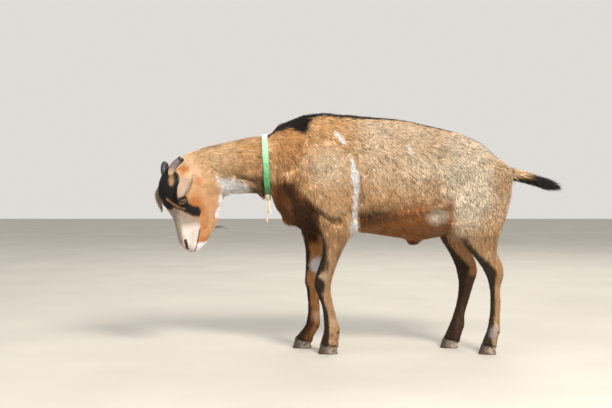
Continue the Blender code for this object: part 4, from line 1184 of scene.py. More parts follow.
def bareSkin(points, normals):
    # shares of bare pink-grey skin, of dark skin at the nostrils, lips and lids, and of painted shade deep in
    # the nostrils
    w = weights(points)
    h = folded(w["h"])
    nose = ball(h, skinPlan["nose"], skinPlan["noseRadii"], 0.35) * w["head"]
    nostril, _ = toRoute(h, skinPlan["nostril"])
    inside = (1 - ramp(nostril, 0.0036, 0.0056)) * w["head"]
    mouth, share = toMouth(h)
    seam = (1 - ramp(mouth, 0.0014, 0.0030)) * w["head"] * (1 - ramp(share, 0.9, 1.0)) * (h[:, 0] > 0.155)
    local, reach, _, _ = fromEye(h)
    lids = w["head"] * (1 - ramp(reach, 0.0140, 0.0165)) * (local[:, 2] > 0)
    hollow = np.zeros(len(points))
    for name, route in zip(("left", "right"), earRoutes()):
        facing = np.array(ears[name + "Facing"]) @ headAxes
        close, _ = aboutEar(points, route)
        hollow = np.maximum(hollow, close * ramp(normals @ facing, 0.0, 0.4))
    vent = ball(w["p"], skinPlan["vent"], (0.018, 0.008, 0.011), 0.5)
    pink = np.maximum(np.maximum(0.7 * nose, 0.7 * hollow * w["ear"]), 0.9 * vent)
    dark = np.maximum(np.maximum(inside, 0.9 * seam), 0.85 * lids)
    # the third share is painted shade deep in the nostrils
    return np.column_stack([pink, dark, (1 - ramp(nostril, 0.0022, 0.0042)) * w["head"]])


skinMarks = markings(skinPoints, skinNormals)
addAttribute(skin.data, "marks", "FLOAT_COLOR", skinMarks)
addAttribute(skin.data, "bare", "FLOAT_VECTOR", bareSkin(skinPoints, skinNormals))
finishPiece(skin, makeSkinMaterial(), "coat_tan", *fleshNodes, "ear_left", "ear_right")
print("skin coloured")


# The coat: thin closed locks of hair rooted in the skin. Long ones are spindles bent at their widest place,
# short ones plain slivers.

coatPlan = {
    "seed": 7,
    "lockWidth": 0.00155,
    "lockRidge": 0.36,  # height of a lock's ridge as a share of its width
    "waver": 8,  # degrees
    "clump": 0.011,  # size of the bunches that lock tips lean into
    "lean": 0.34,
    "coronetFlare": 0.0026,
    "mingle": 0.040,  # how far neck hair and head hair run into each other
    "guardShare": 0.13,  # share of thinner, longer hairs among the long locks
    "patch": 0.003,  # size of a lock on the bake map
    "underStrap": 0.75,  # how much of its height the coat keeps under the collar
    "long": {"coatNeck": 25000, "coatShoulderLeft": 25500, "coatShoulderRight": 25500,
             "coatFlankLeft": 32000, "coatFlankRight": 32000, "coatRump": 31000},
    "short": {"coatHead": 47000, "coatForelegs": 36000, "coatHindlegs": 36000},
}
lockForms = {
    # for each corner: shares of the lock's length, rise and lean, shares of the lock's width, ridge and
    # root depth, and its place across and along the lock
    "long": {
        "bend": ((0, 0, 0), (0.40, 0.66, 0.3), (0.40, 0.66, 0.3), (0.40, 0.66, 0.3), (1, 1, 1)),
        "girth": ((0, 0, -1), (-0.5, 0, 0), (0, 1, 0), (0.5, 0, 0), (0, 0, 0)),
        "strand": ((0.5, 0, 0), (0, 0.40, 0), (0.5, 0.36, 0), (1, 0.40, 0), (0.5, 1, 0)),
        "faces": ((1, 4, 2), (2, 4, 3), (3, 4, 1), (1, 2, 0), (2, 3, 0), (3, 1, 0)),
        "depth": 0.0010,
        "setback": 0.0010,
    },
    "short": {
        "bend": ((0, 0, 0), (0, 0, 0), (0, 0, 0), (1, 1, 1)),
        "girth": ((-0.5, 0, -1), (0, 1, -1), (0.5, 0, -1), (0, 0, 0)),
        "strand": ((0, 0.06, 0), (0.5, 0, 0), (1, 0.06, 0), (0.5, 1, 0)),
        "faces": ((0, 3, 1), (1, 3, 2), (2, 3, 0), (0, 1, 2)),
        "depth": 0.0005,
        "setback": 0.0,
    },
}


def makeLockTree():
    # a lock on every root, stretched along the lie of the coat, raised to its tip and drawn to its bunch
    tree = newTree("locksOfHair", Roots="Geometry", Lock="Object", Material="Material", Ridge="Float",
                   Depth="Float", Setback="Float", Patch="Float")
    given = addNode(tree, "NodeGroupInput").outputs
    stored = {name: addNode(tree, "GeometryNodeInputNamedAttribute", {"Name": name},
                            data_type="FLOAT_VECTOR").outputs["Attribute"]
              for name in ("out", "lie", "gather", "size", "place", "bend", "girth", "strand")}
    size, bend, girth, place = (addNode(tree, "ShaderNodeSeparateXYZ", {0: stored[name]}).outputs
                                for name in ("size", "bend", "girth", "place"))
    beside = addNode(tree, "ShaderNodeVectorMath", {0: stored["out"], 1: stored["lie"]},
                     operation="CROSS_PRODUCT")
    ridge = addNode(tree, "ShaderNodeMath", {0: given["Ridge"], 1: girth[1]}, operation="MULTIPLY")
    offset = (0, 0, 0)
    for way, amount, share in ((stored["lie"], size[0], bend[0]), (stored["out"], size[2], bend[1]),
                               (stored["gather"], 1.0, bend[2]), (beside.outputs[0], size[1], girth[0]),
                               (stored["out"], size[1], ridge.outputs[0]),
                               (stored["out"], given["Depth"], girth[2]),
                               (stored["lie"], given["Setback"], girth[2])):
        reach = addNode(tree, "ShaderNodeMath", {0: amount, 1: share}, operation="MULTIPLY")
        offset = addNode(tree, "ShaderNodeVectorMath", {0: way, 1: reach.outputs[0], 2: offset},
                         operation="MULTIPLY_ADD").outputs[0]
    lock = addNode(tree, "GeometryNodeObjectInfo", {"Object": given["Lock"]})
    planted = addNode(tree, "GeometryNodeInstanceOnPoints", {"Points": given["Roots"],
                                                             "Instance": lock.outputs["Geometry"]})
    real = addNode(tree, "GeometryNodeRealizeInstances", {"Geometry": planted.outputs[0]})
    grown = addNode(tree, "GeometryNodeSetPosition", {"Geometry": real.outputs[0], "Offset": offset})
    centred = addNode(tree, "ShaderNodeVectorMath", {0: stored["strand"], 1: (0.5, 0.5, 0)},
                      operation="SUBTRACT")
    unrolled = addNode(tree, "ShaderNodeVectorMath", {0: centred.outputs[0], 1: given["Patch"],
                                                      2: stored["place"]}, operation="MULTIPLY_ADD")
    mapped = addNode(tree, "GeometryNodeStoreNamedAttribute",
                     {"Geometry": grown.outputs[0], "Name": "OFBake", "Value": unrolled.outputs[0]},
                     data_type="FLOAT2", domain="CORNER")
    tone = addNode(tree, "ShaderNodeCombineXYZ", {2: place[2]})
    toned = addNode(tree, "ShaderNodeVectorMath", {0: stored["strand"], 1: tone.outputs[0]})
    marked = addNode(tree, "GeometryNodeStoreNamedAttribute",
                     {"Geometry": mapped.outputs[0], "Name": "strand", "Value": toned.outputs[0]},
                     data_type="FLOAT_VECTOR", domain="POINT")
    coated = addNode(tree, "GeometryNodeSetMaterial", {"Geometry": marked.outputs[0],
                                                       "Material": given["Material"]})
    addNode(tree, "NodeGroupOutput", {0: coated.outputs[0]})
    return tree


def lockSizes(w):
    # length and width of the locks
    p, h = w["p"], w["h"]
    x, _, z = p.T
    length = np.full(len(p), 0.020)
    width = np.full(len(p), coatPlan["lockWidth"])
    length += ball(p * (1, 0, 1), (0.04, 0, 0.42), (0.05, 1, 0.08), 0.5) * -0.004
    breast = ramp(-(x + 0.6 * (z - 0.40)), -0.06, 0.02) * (1 - w["head"])
    length += 0.003 * breast
    nape = w["neck"] * ramp(-x, 0.17, 0.27)
    length -= 0.009 * nape
    width -= 0.0003 * nape
    under = ramp(hemHeight(x) - z, -0.002, 0.004) * ramp(x, 0.09, 0.11) * (1 - ramp(x, 0.31, 0.34))
    length += under * (0.010 - length)
    width += under * (0.0013 - width)
    legs = np.maximum(w["front"], w["hind"])
    length += legs * (0.0070 + 0.0095 * ramp(z, 0.18, 0.30) + 0.0060 * (1 - ramp(z, 0.026, 0.040)) - length)
    width += legs * (0.0010 + 0.0005 * ramp(z, 0.18, 0.30) - width)
    brush = np.minimum(0.030, 0.7 * np.maximum(0.137 - w["tailShare"], 0) + 0.009)
    length += w["tail"] * (brush - length)
    face = ramp(h[:, 0], 0.0, 0.06)
    headLength = 0.0125 - 0.0062 * face - 0.0018 * ramp(h[:, 0], 0.13, 0.21)
    length += w["head"] * (headLength - length)
    width += w["head"] * (0.0013 - 0.00055 * face - 0.0001 * ramp(h[:, 0], 0.15, 0.21) - width)
    length += w["ear"] * (0.0060 - length)
    width += w["ear"] * (0.0008 - width)
    return length, width


def bareness(w):
    # 1 where no hair grows: between the lids, in the nostrils and mouth, on the nose, at the vent and round
    #                        the roots of the horns
    h = folded(w["h"])
    local, reach, turn, lift = fromEye(h)
    eye = (turn / (skinPlan["lidWidth"] + 6)) ** 2 + (lift / 34) ** 2 < 1
    eye &= (local[:, 2] > 0) & (reach < 0.020)
    nose = np.linalg.norm((h - skinPlan["nose"]) / skinPlan["noseRadii"], axis=1) < 1
    nostril, _ = toRoute(h, skinPlan["nostril"])
    bare = (w["head"] > 0.3) & (eye | nose | (nostril < 0.0056) | (toMouth(h)[0] < 0.0022))
    bare |= np.linalg.norm((w["p"] - skinPlan["vent"]) / (0.020, 0.0060, 0.0085), axis=1) < 1
    for side in ("left", "right"):
        root, _ = toRoute(w["h"], smoothRoute(horns[side], 12))
        bare |= root < 0.0108
    return bare


def regionOf(w, jitter):
    # which piece of the coat each place belongs to. Neck hair and head hair mingle where they meet
    p = w["p"]
    left = p[:, 1] < 0
    names = np.where(p[:, 0] < 0.10, np.where(left, "coatShoulderLeft", "coatShoulderRight"),
                     np.where(left, "coatFlankLeft", "coatFlankRight"))
    names = np.where((p[:, 0] > 0.31) | (w["tail"] > 0.5), "coatRump", names)
    names = np.where(w["neck"] > 0.5, "coatNeck", names)
    names = np.where(w["front"] > 0.5, "coatForelegs", names)
    names = np.where(w["hind"] > 0.5, "coatHindlegs", names)
    onHead = (w["cut"] + coatPlan["mingle"] * jitter > 0) & (p[:, 0] < body["headEnd"])
    return np.where(onHead | (w["ear"] > 0.5), "coatHead", names)


def bakePlace(name, w):
    # each root's place on the skin unrolled round the part's own axis
    p, h = w["p"], w["h"]
    if name == "coatHead":
        angle = np.arctan2(h[:, 1], h[:, 2] + 0.03)
        along = (h[:, 0] + 0.04) / 0.28
        onEar = w["ear"] > 0.5
        earAngle = np.arctan2(h[:, 1] - np.sign(h[:, 1]) * 0.06, h[:, 2] - 0.02)
        around = 0.02 + 0.72 * (angle / (2 * math.pi) + 0.5)
        beside = 0.78 + 0.10 * (earAngle / (2 * math.pi) + 0.5) + 0.11 * (h[:, 1] > 0)
        return np.column_stack([np.where(onEar, beside, around), 0.02 + 0.96 * np.clip(along, 0, 1)])
    if name in ("coatForelegs", "coatHindlegs"):
        middle = np.interp(p[:, 2], (0.03, 0.16, 0.34), (0.02, 0.015, 0.03) if name == "coatForelegs"
                           else (0.42, 0.43, 0.38))
        middle = middle - (0.04 if name == "coatForelegs" else 0.06) * (p[:, 1] > 0) * (p[:, 2] < 0.2)
        angle = np.arctan2(np.abs(p[:, 1]) - 0.055, p[:, 0] - middle)
        across = (0.02 + 0.46 * (angle / (2 * math.pi) + 0.5)) + 0.5 * (p[:, 1] > 0)
        return np.column_stack([across, 0.02 + 0.96 * np.clip(p[:, 2] / 0.34, 0, 1)])
    angle = np.arctan2(p[:, 1], p[:, 2] - 0.43) / (2 * math.pi) + 0.5
    low, high = p[:, 0].min(), p[:, 0].max()
    first, last = angle.min(), angle.max()
    return np.column_stack([0.02 + 0.96 * (p[:, 0] - low) / (high - low),
                            0.02 + 0.96 * (angle - first) / (last - first)])


def growLocks(name, points, normals, rng, long, tree, material):
    # closed locks from the roots, lying along the coat and leaning together at their tips
    count = len(points)
    w = weights(points)
    flow = lieOfCoat(points, normals, w)
    length, width = lockSizes(w)
    marks = markings(points + flow * (length * 0.45)[:, None] + rng.normal(0, 0.0014, points.shape), normals)
    depth = coatDepth(w)

    cells = np.floor(points / coatPlan["clump"]).astype(np.int64)
    _, cell = np.unique(cells, axis=0, return_inverse=True)
    cell = cell.reshape(-1)
    size = np.bincount(cell)
    heart = np.column_stack([np.bincount(cell, points[:, axis]) / size for axis in range(3)])[cell]
    bunchTone = rng.random(len(size))[cell]
    tone = 0.5 * bunchTone + 0.5 * rng.random(count)
    darker, paler = flecks(w, marks)
    chance = rng.random(count) * 0.7 + bunchTone * 0.3
    dark = ramp(darker * 0.75 + 0.10 - chance, 0.0, 0.05)
    pale = ramp(chance - (1 - paler * 0.75 - 0.10), 0.0, 0.05)
    marks[:, 2] = np.maximum(marks[:, 2], dark * rng.uniform(0.35, 0.75, count))
    marks[:, 1] = np.maximum(marks[:, 1], pale * 0.75 * (1 - marks[:, 2]))

    angle = np.radians(rng.normal(0, coatPlan["waver"], count) + 11 * softNoise(points, 0.016, 21))
    beside = np.cross(normals, flow)
    lie = flow * np.cos(angle)[:, None] + beside * np.sin(angle)[:, None]
    length = length * rng.uniform(0.70, 1.22, count)
    width = width * rng.uniform(0.75, 1.25, count)
    rise = np.minimum(depth * rng.uniform(0.45, 1.06, count), length * 0.50)
    legs = np.maximum(w["front"], w["hind"])
    rise += coatPlan["coronetFlare"] * legs * (1 - ramp(w["p"][:, 2], 0.027, 0.036))
    if long:
        guard = rng.random(count) < coatPlan["guardShare"]
        length = np.where(guard, length * 1.30, length)
        width = np.where(guard, width * 0.55, width)
        rise = np.where(guard, depth * 1.12, rise)
    strap = collar["bottom"][0] - collar["top"][0]
    strap = collar["top"][0] + strap * ramp(0.528 - w["p"][:, 2], 0, 0.145)
    pressed = ramp(w["p"][:, 0] - strap, -0.034, -0.018) * (1 - ramp(w["p"][:, 0] - strap, 0.004, 0.010))
    rise *= 1 - (1 - coatPlan["underStrap"]) * pressed * (1 - w["head"])
    beside = np.cross(normals, lie)
    gather = (heart - points) * coatPlan["lean"]
    gather -= normals * (gather * normals).sum(axis=1, keepdims=True)
    gather -= lie * (gather * lie).sum(axis=1, keepdims=True)
    gather *= np.minimum(1, length / 0.016)[:, None]
    place = bakePlace(name, w)
    piece = meshFromArrays(name, points, np.zeros((0, 3)))
    for layer, values in (("out", normals), ("lie", lie), ("gather", gather),
                          ("size", np.column_stack([length, width, rise])),
                          ("place", np.column_stack([place, tone]))):
        addAttribute(piece.data, layer, "FLOAT_VECTOR", values)
    addAttribute(piece.data, "marks", "FLOAT_COLOR", marks)
    form = lockForms["long" if long else "short"]
    lock = meshFromArrays("lock", np.zeros((len(form["bend"]), 3)), np.array(form["faces"]))
    for layer in ("bend", "girth", "strand"):
        addAttribute(lock.data, layer, "FLOAT_VECTOR", np.array(form[layer], float))
    runTree(piece, tree, Lock=lock, Material=material, Ridge=coatPlan["lockRidge"], Depth=form["depth"],
            Setback=form["setback"], Patch=coatPlan["patch"])
    bpy.data.objects.remove(lock, do_unlink=True)
    for layer in ("out", "lie", "gather", "size", "place", "bend", "girth"):
        piece.data.attributes.remove(piece.data.attributes[layer])
    piece.data.uv_layers.active = piece.data.uv_layers["OFBake"]
    piece.data.uv_layers["OFBake"].active_render = True
    return piece


def makeHairMaterial():
    # goat guard hair: coarse keratin, softly glossy along its length, darker at the root as painted shade
    # among the locks, each hair streaked
    material, tree = newMaterial("coarseGuardHair", 0.52, 1.45,
                                 {"Specular IOR Level": 0.28, "Sheen Weight": 0.04})
    strand = addNode(tree, "ShaderNodeAttribute", attribute_name="strand")
    parts = addNode(tree, "ShaderNodeSeparateXYZ", {0: strand.outputs["Vector"]})
    spread = addNode(tree, "ShaderNodeMapping", {"Vector": strand.outputs["Vector"], "Scale": (9, 1.2, 70)})
    hairs = addNode(tree, "ShaderNodeTexNoise", {"Vector": spread.outputs[0], "Scale": 1.0, "Detail": 2.0})
    streak = addNode(tree, "ShaderNodeMapRange",
                     {0: hairs.outputs["Fac"], 1: 0.25, 2: 0.75, 3: 0.74, 4: 1.18})
    # darker towards the root of each lock: painted shade where the locks cover one another
    length = addNode(tree, "ShaderNodeMapRange", {0: parts.outputs[1], 1: 0.0, 2: 0.6, 3: 0.80, 4: 1.06})
    tone = addNode(tree, "ShaderNodeMapRange", {0: parts.outputs[2], 1: 0.0, 2: 1.0, 3: 0.80, 4: 1.16})
    first = addNode(tree, "ShaderNodeMath", {0: streak.outputs[0], 1: length.outputs[0]},
                    operation="MULTIPLY")
    second = addNode(tree, "ShaderNodeMath", {0: first.outputs[0], 1: tone.outputs[0]}, operation="MULTIPLY")
    shaded = addNode(tree, "ShaderNodeVectorMath", {0: mixMarkings(tree), "Scale": second.outputs[0]},
                     operation="SCALE")
    bump = addNode(tree, "ShaderNodeBump", {"Height": hairs.outputs["Fac"], "Strength": 0.4,
                                            "Distance": 0.0003})
    wire(tree, {"Base Color": shaded.outputs[0], "Normal": bump.outputs[0]})
    return material


def growCoat():
    mesh = skin.data
    mesh.calc_loop_triangles()
    triangles = np.empty(len(mesh.loop_triangles) * 3, np.int32)
    mesh.loop_triangles.foreach_get("vertices", triangles)
    triangles = triangles.reshape(-1, 3)
    corners = skinPoints[triangles]
    area = np.linalg.norm(np.cross(corners[:, 1] - corners[:, 0], corners[:, 2] - corners[:, 0]), axis=1) / 2
    centres = corners.mean(axis=1)
    w = weights(centres)
    region = regionOf(w, np.random.default_rng(coatPlan["seed"] + 1).random(len(centres)) - 0.5)
    length, width = lockSizes(w)
    density = area / (length * width)
    density[bareness(w)] = 0
    hollow = bareSkin(centres, skinNormals[triangles[:, 0]])[:, 0]
    density *= 1 - 0.7 * hollow
    material, tree = makeHairMaterial(), makeLockTree()
    rng = np.random.default_rng(coatPlan["seed"])
    total = 0
    for name, wanted in {**coatPlan["long"], **coatPlan["short"]}.items():
        long = name in coatPlan["long"]
        mine = np.where(region == name, density, 0)
        expected = mine / mine.sum() * wanted
        many = np.floor(expected + rng.random(len(expected))).astype(int)
        picked = np.repeat(np.arange(len(many)), many)
        share = rng.random((len(picked), 2))
        flip = share.sum(axis=1) > 1
        share[flip] = 1 - share[flip]
        mix = np.column_stack([1 - share.sum(axis=1), share])[:, :, None]
        points = (skinPoints[triangles[picked]] * mix).sum(axis=1)
        normals = unit((skinNormals[triangles[picked]] * mix).sum(axis=1))
        piece = growLocks(name, points, normals, rng, long, tree, material)
        finishPiece(piece, material, "coat_tan")
        total += len(piece.data.polygons)
        print(name, len(picked), "locks")
    print("coat grown,", total, "triangles")


growCoat()

# Eyes: polished wet globes behind the lids, amber round a slit that stays nearly level

eyes = {
    "rings": 30,
    "spokes": 44,
    "corneaRise": 0.0008,
    "pupilTurn": -22,  # degrees from the lids' line
    "pupilLength": 0.50,  # half of it, in radii of the eye
    "pupilHeight": 0.15,
    "irisRadius": 0.74,
    "rimRadius": 0.0009,
}


def mirrored(points, side):
    # places given on the left of the head, for either side
    return np.asarray(points) * ((1, 1, 1) if side == "left" else (1, -1, 1))


def makeEyeMaterial():
    # cornea and iris: wet, smooth film over amber-brown fibres, a black level slit, dark rim to the globe
    material, tree = newMaterial("wetCornea", 0.16, 1.38,
                                 {"Coat Weight": 1.0, "Coat Roughness": 0.02, "Coat IOR": 1.38})
    look = addNode(tree, "ShaderNodeAttribute", attribute_name="look")
    parts = addNode(tree, "ShaderNodeSeparateXYZ", {0: look.outputs["Vector"]})
    turned = addNode(tree, "ShaderNodeVectorRotate", {"Vector": look.outputs["Vector"],
                                                      "Angle": math.radians(eyes["pupilTurn"])},
                     rotation_type="Z_AXIS")
    slit = addNode(tree, "ShaderNodeSeparateXYZ", {0: turned.outputs[0]})
    powers = []
    for output, half in ((slit.outputs[0], eyes["pupilLength"]), (slit.outputs[1], eyes["pupilHeight"])):
        scaled = addNode(tree, "ShaderNodeMath", {0: output, 1: half}, operation="DIVIDE")
        size = addNode(tree, "ShaderNodeMath", {0: scaled.outputs[0]}, operation="ABSOLUTE")
        powers.append(addNode(tree, "ShaderNodeMath", {0: size.outputs[0], 1: 3.5}, operation="POWER"))
    both = addNode(tree, "ShaderNodeMath", {0: powers[0].outputs[0], 1: powers[1].outputs[0]})
    pupil = addNode(tree, "ShaderNodeMapRange", {0: both.outputs[0], 1: 0.75, 2: 1.25, 3: 1.0, 4: 0.0})
    radial = addNode(tree, "ShaderNodeTexNoise",
                     {"Vector": look.outputs["Vector"], "Scale": 9.0, "Detail": 5.0})
    iris = addNode(tree, "ShaderNodeMix", {0: radial.outputs["Fac"], 6: srgb("#452A12"), 7: srgb("#96682F")},
                   data_type="RGBA")
    limit = math.cos(math.asin(eyes["irisRadius"]))
    edge = addNode(tree, "ShaderNodeMapRange",
                   {0: parts.outputs[2], 1: limit - 0.05, 2: limit + 0.07, 3: 1.0, 4: 0.0})
    globe = addNode(tree, "ShaderNodeMix", {0: edge.outputs[0], 6: iris.outputs[2], 7: srgb("#20140F")},
                    data_type="RGBA")
    whole = addNode(tree, "ShaderNodeMix", {0: pupil.outputs[0], 6: globe.outputs[2], 7: srgb("#07080C")},
                    data_type="RGBA")
    wire(tree, {"Base Color": whole.outputs[2]})
    return material


def makeEyes():
    material = makeEyeMaterial()
    axes, radius = eyeAxes(), skinPlan["eyeRadius"]
    polar = np.pi * np.linspace(0, 1, eyes["rings"] + 1)[1:-1] ** 1.25
    around = np.linspace(0, 2 * math.pi, eyes["spokes"], endpoint=False)
    tilt, turn = np.meshgrid(polar, around, indexing="ij")
    ways = np.stack([np.sin(tilt) * np.cos(turn), np.sin(tilt) * np.sin(turn), np.cos(tilt)],
                    axis=2).reshape(-1, 3)
    ways = np.vstack([[0, 0, 1], ways, [0, 0, -1]])
    reach = radius + eyes["corneaRise"] * np.exp(-(np.arccos(np.clip(ways[:, 2], -1, 1)) / 0.55) ** 2)
    spokes, last = eyes["spokes"], len(ways) - 1
    faces = []
    for spoke in range(spokes):
        following = (spoke + 1) % spokes
        faces.append((0, 1 + spoke, 1 + following))
        for ring in range(eyes["rings"] - 2):
            a, b = 1 + ring * spokes + spoke, 1 + ring * spokes + following
            faces += [(a, a + spokes, b), (b, a + spokes, b + spokes)]
        faces.append((last - spokes + following, last - spokes + spoke, last))
    for side in ("left", "right"):
        local = np.array(skinPlan["eyePlace"]) + (ways * reach[:, None]) @ axes
        points = fromHead(mirrored(local, side))
        flipped = np.array(faces)[:, ::-1] if side == "left" else np.array(faces)
        piece = meshFromArrays("eye" + side.capitalize(), points, flipped)
        addAttribute(piece.data, "look", "FLOAT_VECTOR", ways)
        finishPiece(piece, material, "eye_amber", "eye_" + side)


def lidEdge(count, lift=0.0, upperOnly=False):
    # places along the edges of the lids, from corner to corner, on the left of the head
    around = np.linspace(0.12 * math.pi, 0.88 * math.pi, count) if upperOnly else np.linspace(
        0, 2 * math.pi, count, endpoint=False)
    turn = np.radians(skinPlan["lidWidth"] * np.cos(around))
    rise = np.abs(np.sin(around)) ** 1.5
    tilt = np.radians(np.where(np.sin(around) > 0, skinPlan["lidUpper"], -skinPlan["lidLower"]) * rise)
    ways = np.column_stack([np.sin(turn) * np.cos(tilt), np.sin(tilt), np.cos(turn) * np.cos(tilt)])
    return np.array(skinPlan["eyePlace"]) + ways @ eyeAxes() * (skinPlan["eyeRadius"] + lift)


def makeLidRims():
    # bare moist skin along the lids: dark, smooth, satin
    material, tree = newMaterial("moistLidSkin", 0.34, 1.42)
    place = addNode(tree, "ShaderNodeTexCoord").outputs["Object"]
    grain = addNode(tree, "ShaderNodeTexNoise", {"Vector": place, "Scale": 700.0})
    shade = addNode(tree, "ShaderNodeMix", {0: grain.outputs["Fac"], 6: srgb("#2B1E1B"), 7: srgb("#6B4C44")},
                    data_type="RGBA")
    bump = addNode(tree, "ShaderNodeBump",
                   {"Height": grain.outputs["Fac"], "Strength": 0.3, "Distance": 0.0003})
    wire(tree, {"Base Color": shade.outputs[2], "Normal": bump.outputs[0]})
    angles = np.linspace(0, 2 * math.pi, 10, endpoint=False)
    for side in ("left", "right"):
        edge = fromHead(mirrored(lidEdge(72, 0.0009), side))

        def ring(index, centre, heading, across, other):
            return centre + eyes["rimRadius"] * (np.outer(np.cos(angles), across)
                                                 + np.outer(np.sin(angles), other))
        rim = tube("lidRim" + side.capitalize(), edge, ring, 10, closed=True)
        finishPiece(rim, material, "coat_black")


makeEyes()
makeLidRims()
print("eyes ready")


# Horns: short, ringed, worn

def makeHornMaterial():
    # horn sheath: layered keratin, satin where rubbed, flaky and pale at its root, nearly black near the tip,
    # with painted sky reflection and a painted highlight in its bands of colour
    material, tree = newMaterial("wornHornSheath", 0.42, 1.55)
    grown = addNode(tree, "ShaderNodeAttribute", attribute_name="grown")
    parts = addNode(tree, "ShaderNodeSeparateXYZ", {0: grown.outputs["Vector"]})
    place = addNode(tree, "ShaderNodeTexCoord").outputs["Object"]
    flakes = addNode(tree, "ShaderNodeTexNoise", {"Vector": place, "Scale": 260.0, "Detail": 4.0})
    clouds = addNode(tree, "ShaderNodeTexNoise", {"Vector": place, "Scale": 80.0, "Detail": 3.0})
    fibres = addNode(tree, "ShaderNodeMapping", {"Vector": grown.outputs["Vector"], "Scale": (3, 34, 1)})
    lines = addNode(tree, "ShaderNodeTexNoise", {"Vector": fibres.outputs[0], "Scale": 1.0, "Detail": 3.0})
    shift = addNode(tree, "ShaderNodeMath", {0: clouds.outputs["Fac"], 1: 0.22, 2: -0.11},
                    operation="MULTIPLY_ADD")
    along = addNode(tree, "ShaderNodeMath", {0: parts.outputs[0], 1: shift.outputs[0]})
    colours = []
    # colour bands from the table, with painted sky reflection in them and a painted highlight at the right
    # horn's end
    for stops in horns["bands"]:
        band = addNode(tree, "ShaderNodeValToRGB", {0: along.outputs[0]})
        for element, (position, code) in zip(band.color_ramp.elements, (stops[0], stops[-1])):
            element.position = position
            element.color = srgb(code)
        for position, code in stops[1:-1]:
            band.color_ramp.elements.new(position).color = srgb(code)
        colours.append(band.outputs["Color"])
    pick = addNode(tree, "ShaderNodeMix", {0: parts.outputs[2], 6: colours[0], 7: colours[1]},
                   data_type="RGBA")
    tone = addNode(tree, "ShaderNodeMapRange", {0: lines.outputs["Fac"], 1: 0.3, 2: 0.7, 3: 0.75, 4: 1.2})
    shaded = addNode(tree, "ShaderNodeVectorMath", {0: pick.outputs[2], "Scale": tone.outputs[0]},
                     operation="SCALE")
    rough = addNode(tree, "ShaderNodeMapRange", {0: flakes.outputs["Fac"], 1: 0.3, 2: 0.7, 3: 0.32, 4: 0.62})
    height = addNode(tree, "ShaderNodeMath", {0: flakes.outputs["Fac"], 1: lines.outputs["Fac"]})
    bump = addNode(tree, "ShaderNodeBump", {"Height": height.outputs[0], "Strength": 0.5, "Distance": 0.0005})
    wire(tree, {"Base Color": shaded.outputs[0],
                  "Roughness": rough.outputs[0],
                  "Normal": bump.outputs[0]})
    return material


def makeHorns():
    material = makeHornMaterial()
    count, sides = 84, 32
    angles = np.linspace(0, 2 * math.pi, sides, endpoint=False)
    for side in ("left", "right"):
        centres = np.array([fromHead(place) for place in smoothRoute(horns[side], count)])
        travelled = travelAlong(centres) / travelAlong(centres)[-1]
        widths = np.interp(travelled, np.linspace(0, 1, 4), horns["radii"])
        dome = np.sqrt(np.clip(1 - (np.clip(travelled - 0.86, 0, 1) / 0.14) ** 2.2, 0.02, 1))
        wear = softNoise(centres, 0.006, 31 if side == "left" else 32)

        def ring(index, centre, heading, across, other):
            share = travelled[index]
            uneven = 1.4 * math.sin(9 * share) + 0.8 * math.sin(23 * share + 1)
            swell = horns["ringHeight"] * (1 + 0.5 * math.sin(17 * share)) * (
                0.5 + 0.5 * math.sin(2 * math.pi * horns["rings"] * share + uneven)) ** 2
            reach = (widths[index] + swell + 0.0003 * wear[index]) * dome[index]
            lumps = 1 + 0.03 * np.sin(2 * angles + 5 * share) + 0.015 * np.sin(5 * angles + 11 * share)
            return centre + (reach * lumps)[:, None] * (np.cos(angles)[:, None] * across * horns["flatness"]
                                                        + np.sin(angles)[:, None] * other)
        horn = tube("horn" + side.capitalize(), centres, ring, sides)
        grown = np.column_stack([np.repeat(travelled, sides), np.tile(angles / (2 * math.pi), count),
                                 np.full(count * sides, 0.0 if side == "left" else 1.0)])
        addAttribute(horn.data, "grown", "FLOAT_VECTOR", grown)
        finishPiece(horn, material, "horn_grey", "horn_" + side)


makeHorns()
print("horns ready")


# Claws: cloven hooves with growth rings, and the two small dewclaws behind each pastern

claws = {
    "voxel": 0.0013,
    "ringPitch": 0.0026,
    "ringHeight": 0.00035,
    "dewHeight": 0.0545,
    "dewSpread": 0.0085,
    "dewLength": 0.0085,
    "dewRadius": 0.0040,
    "reach": {"front": 0.050, "hind": 0.055},
}


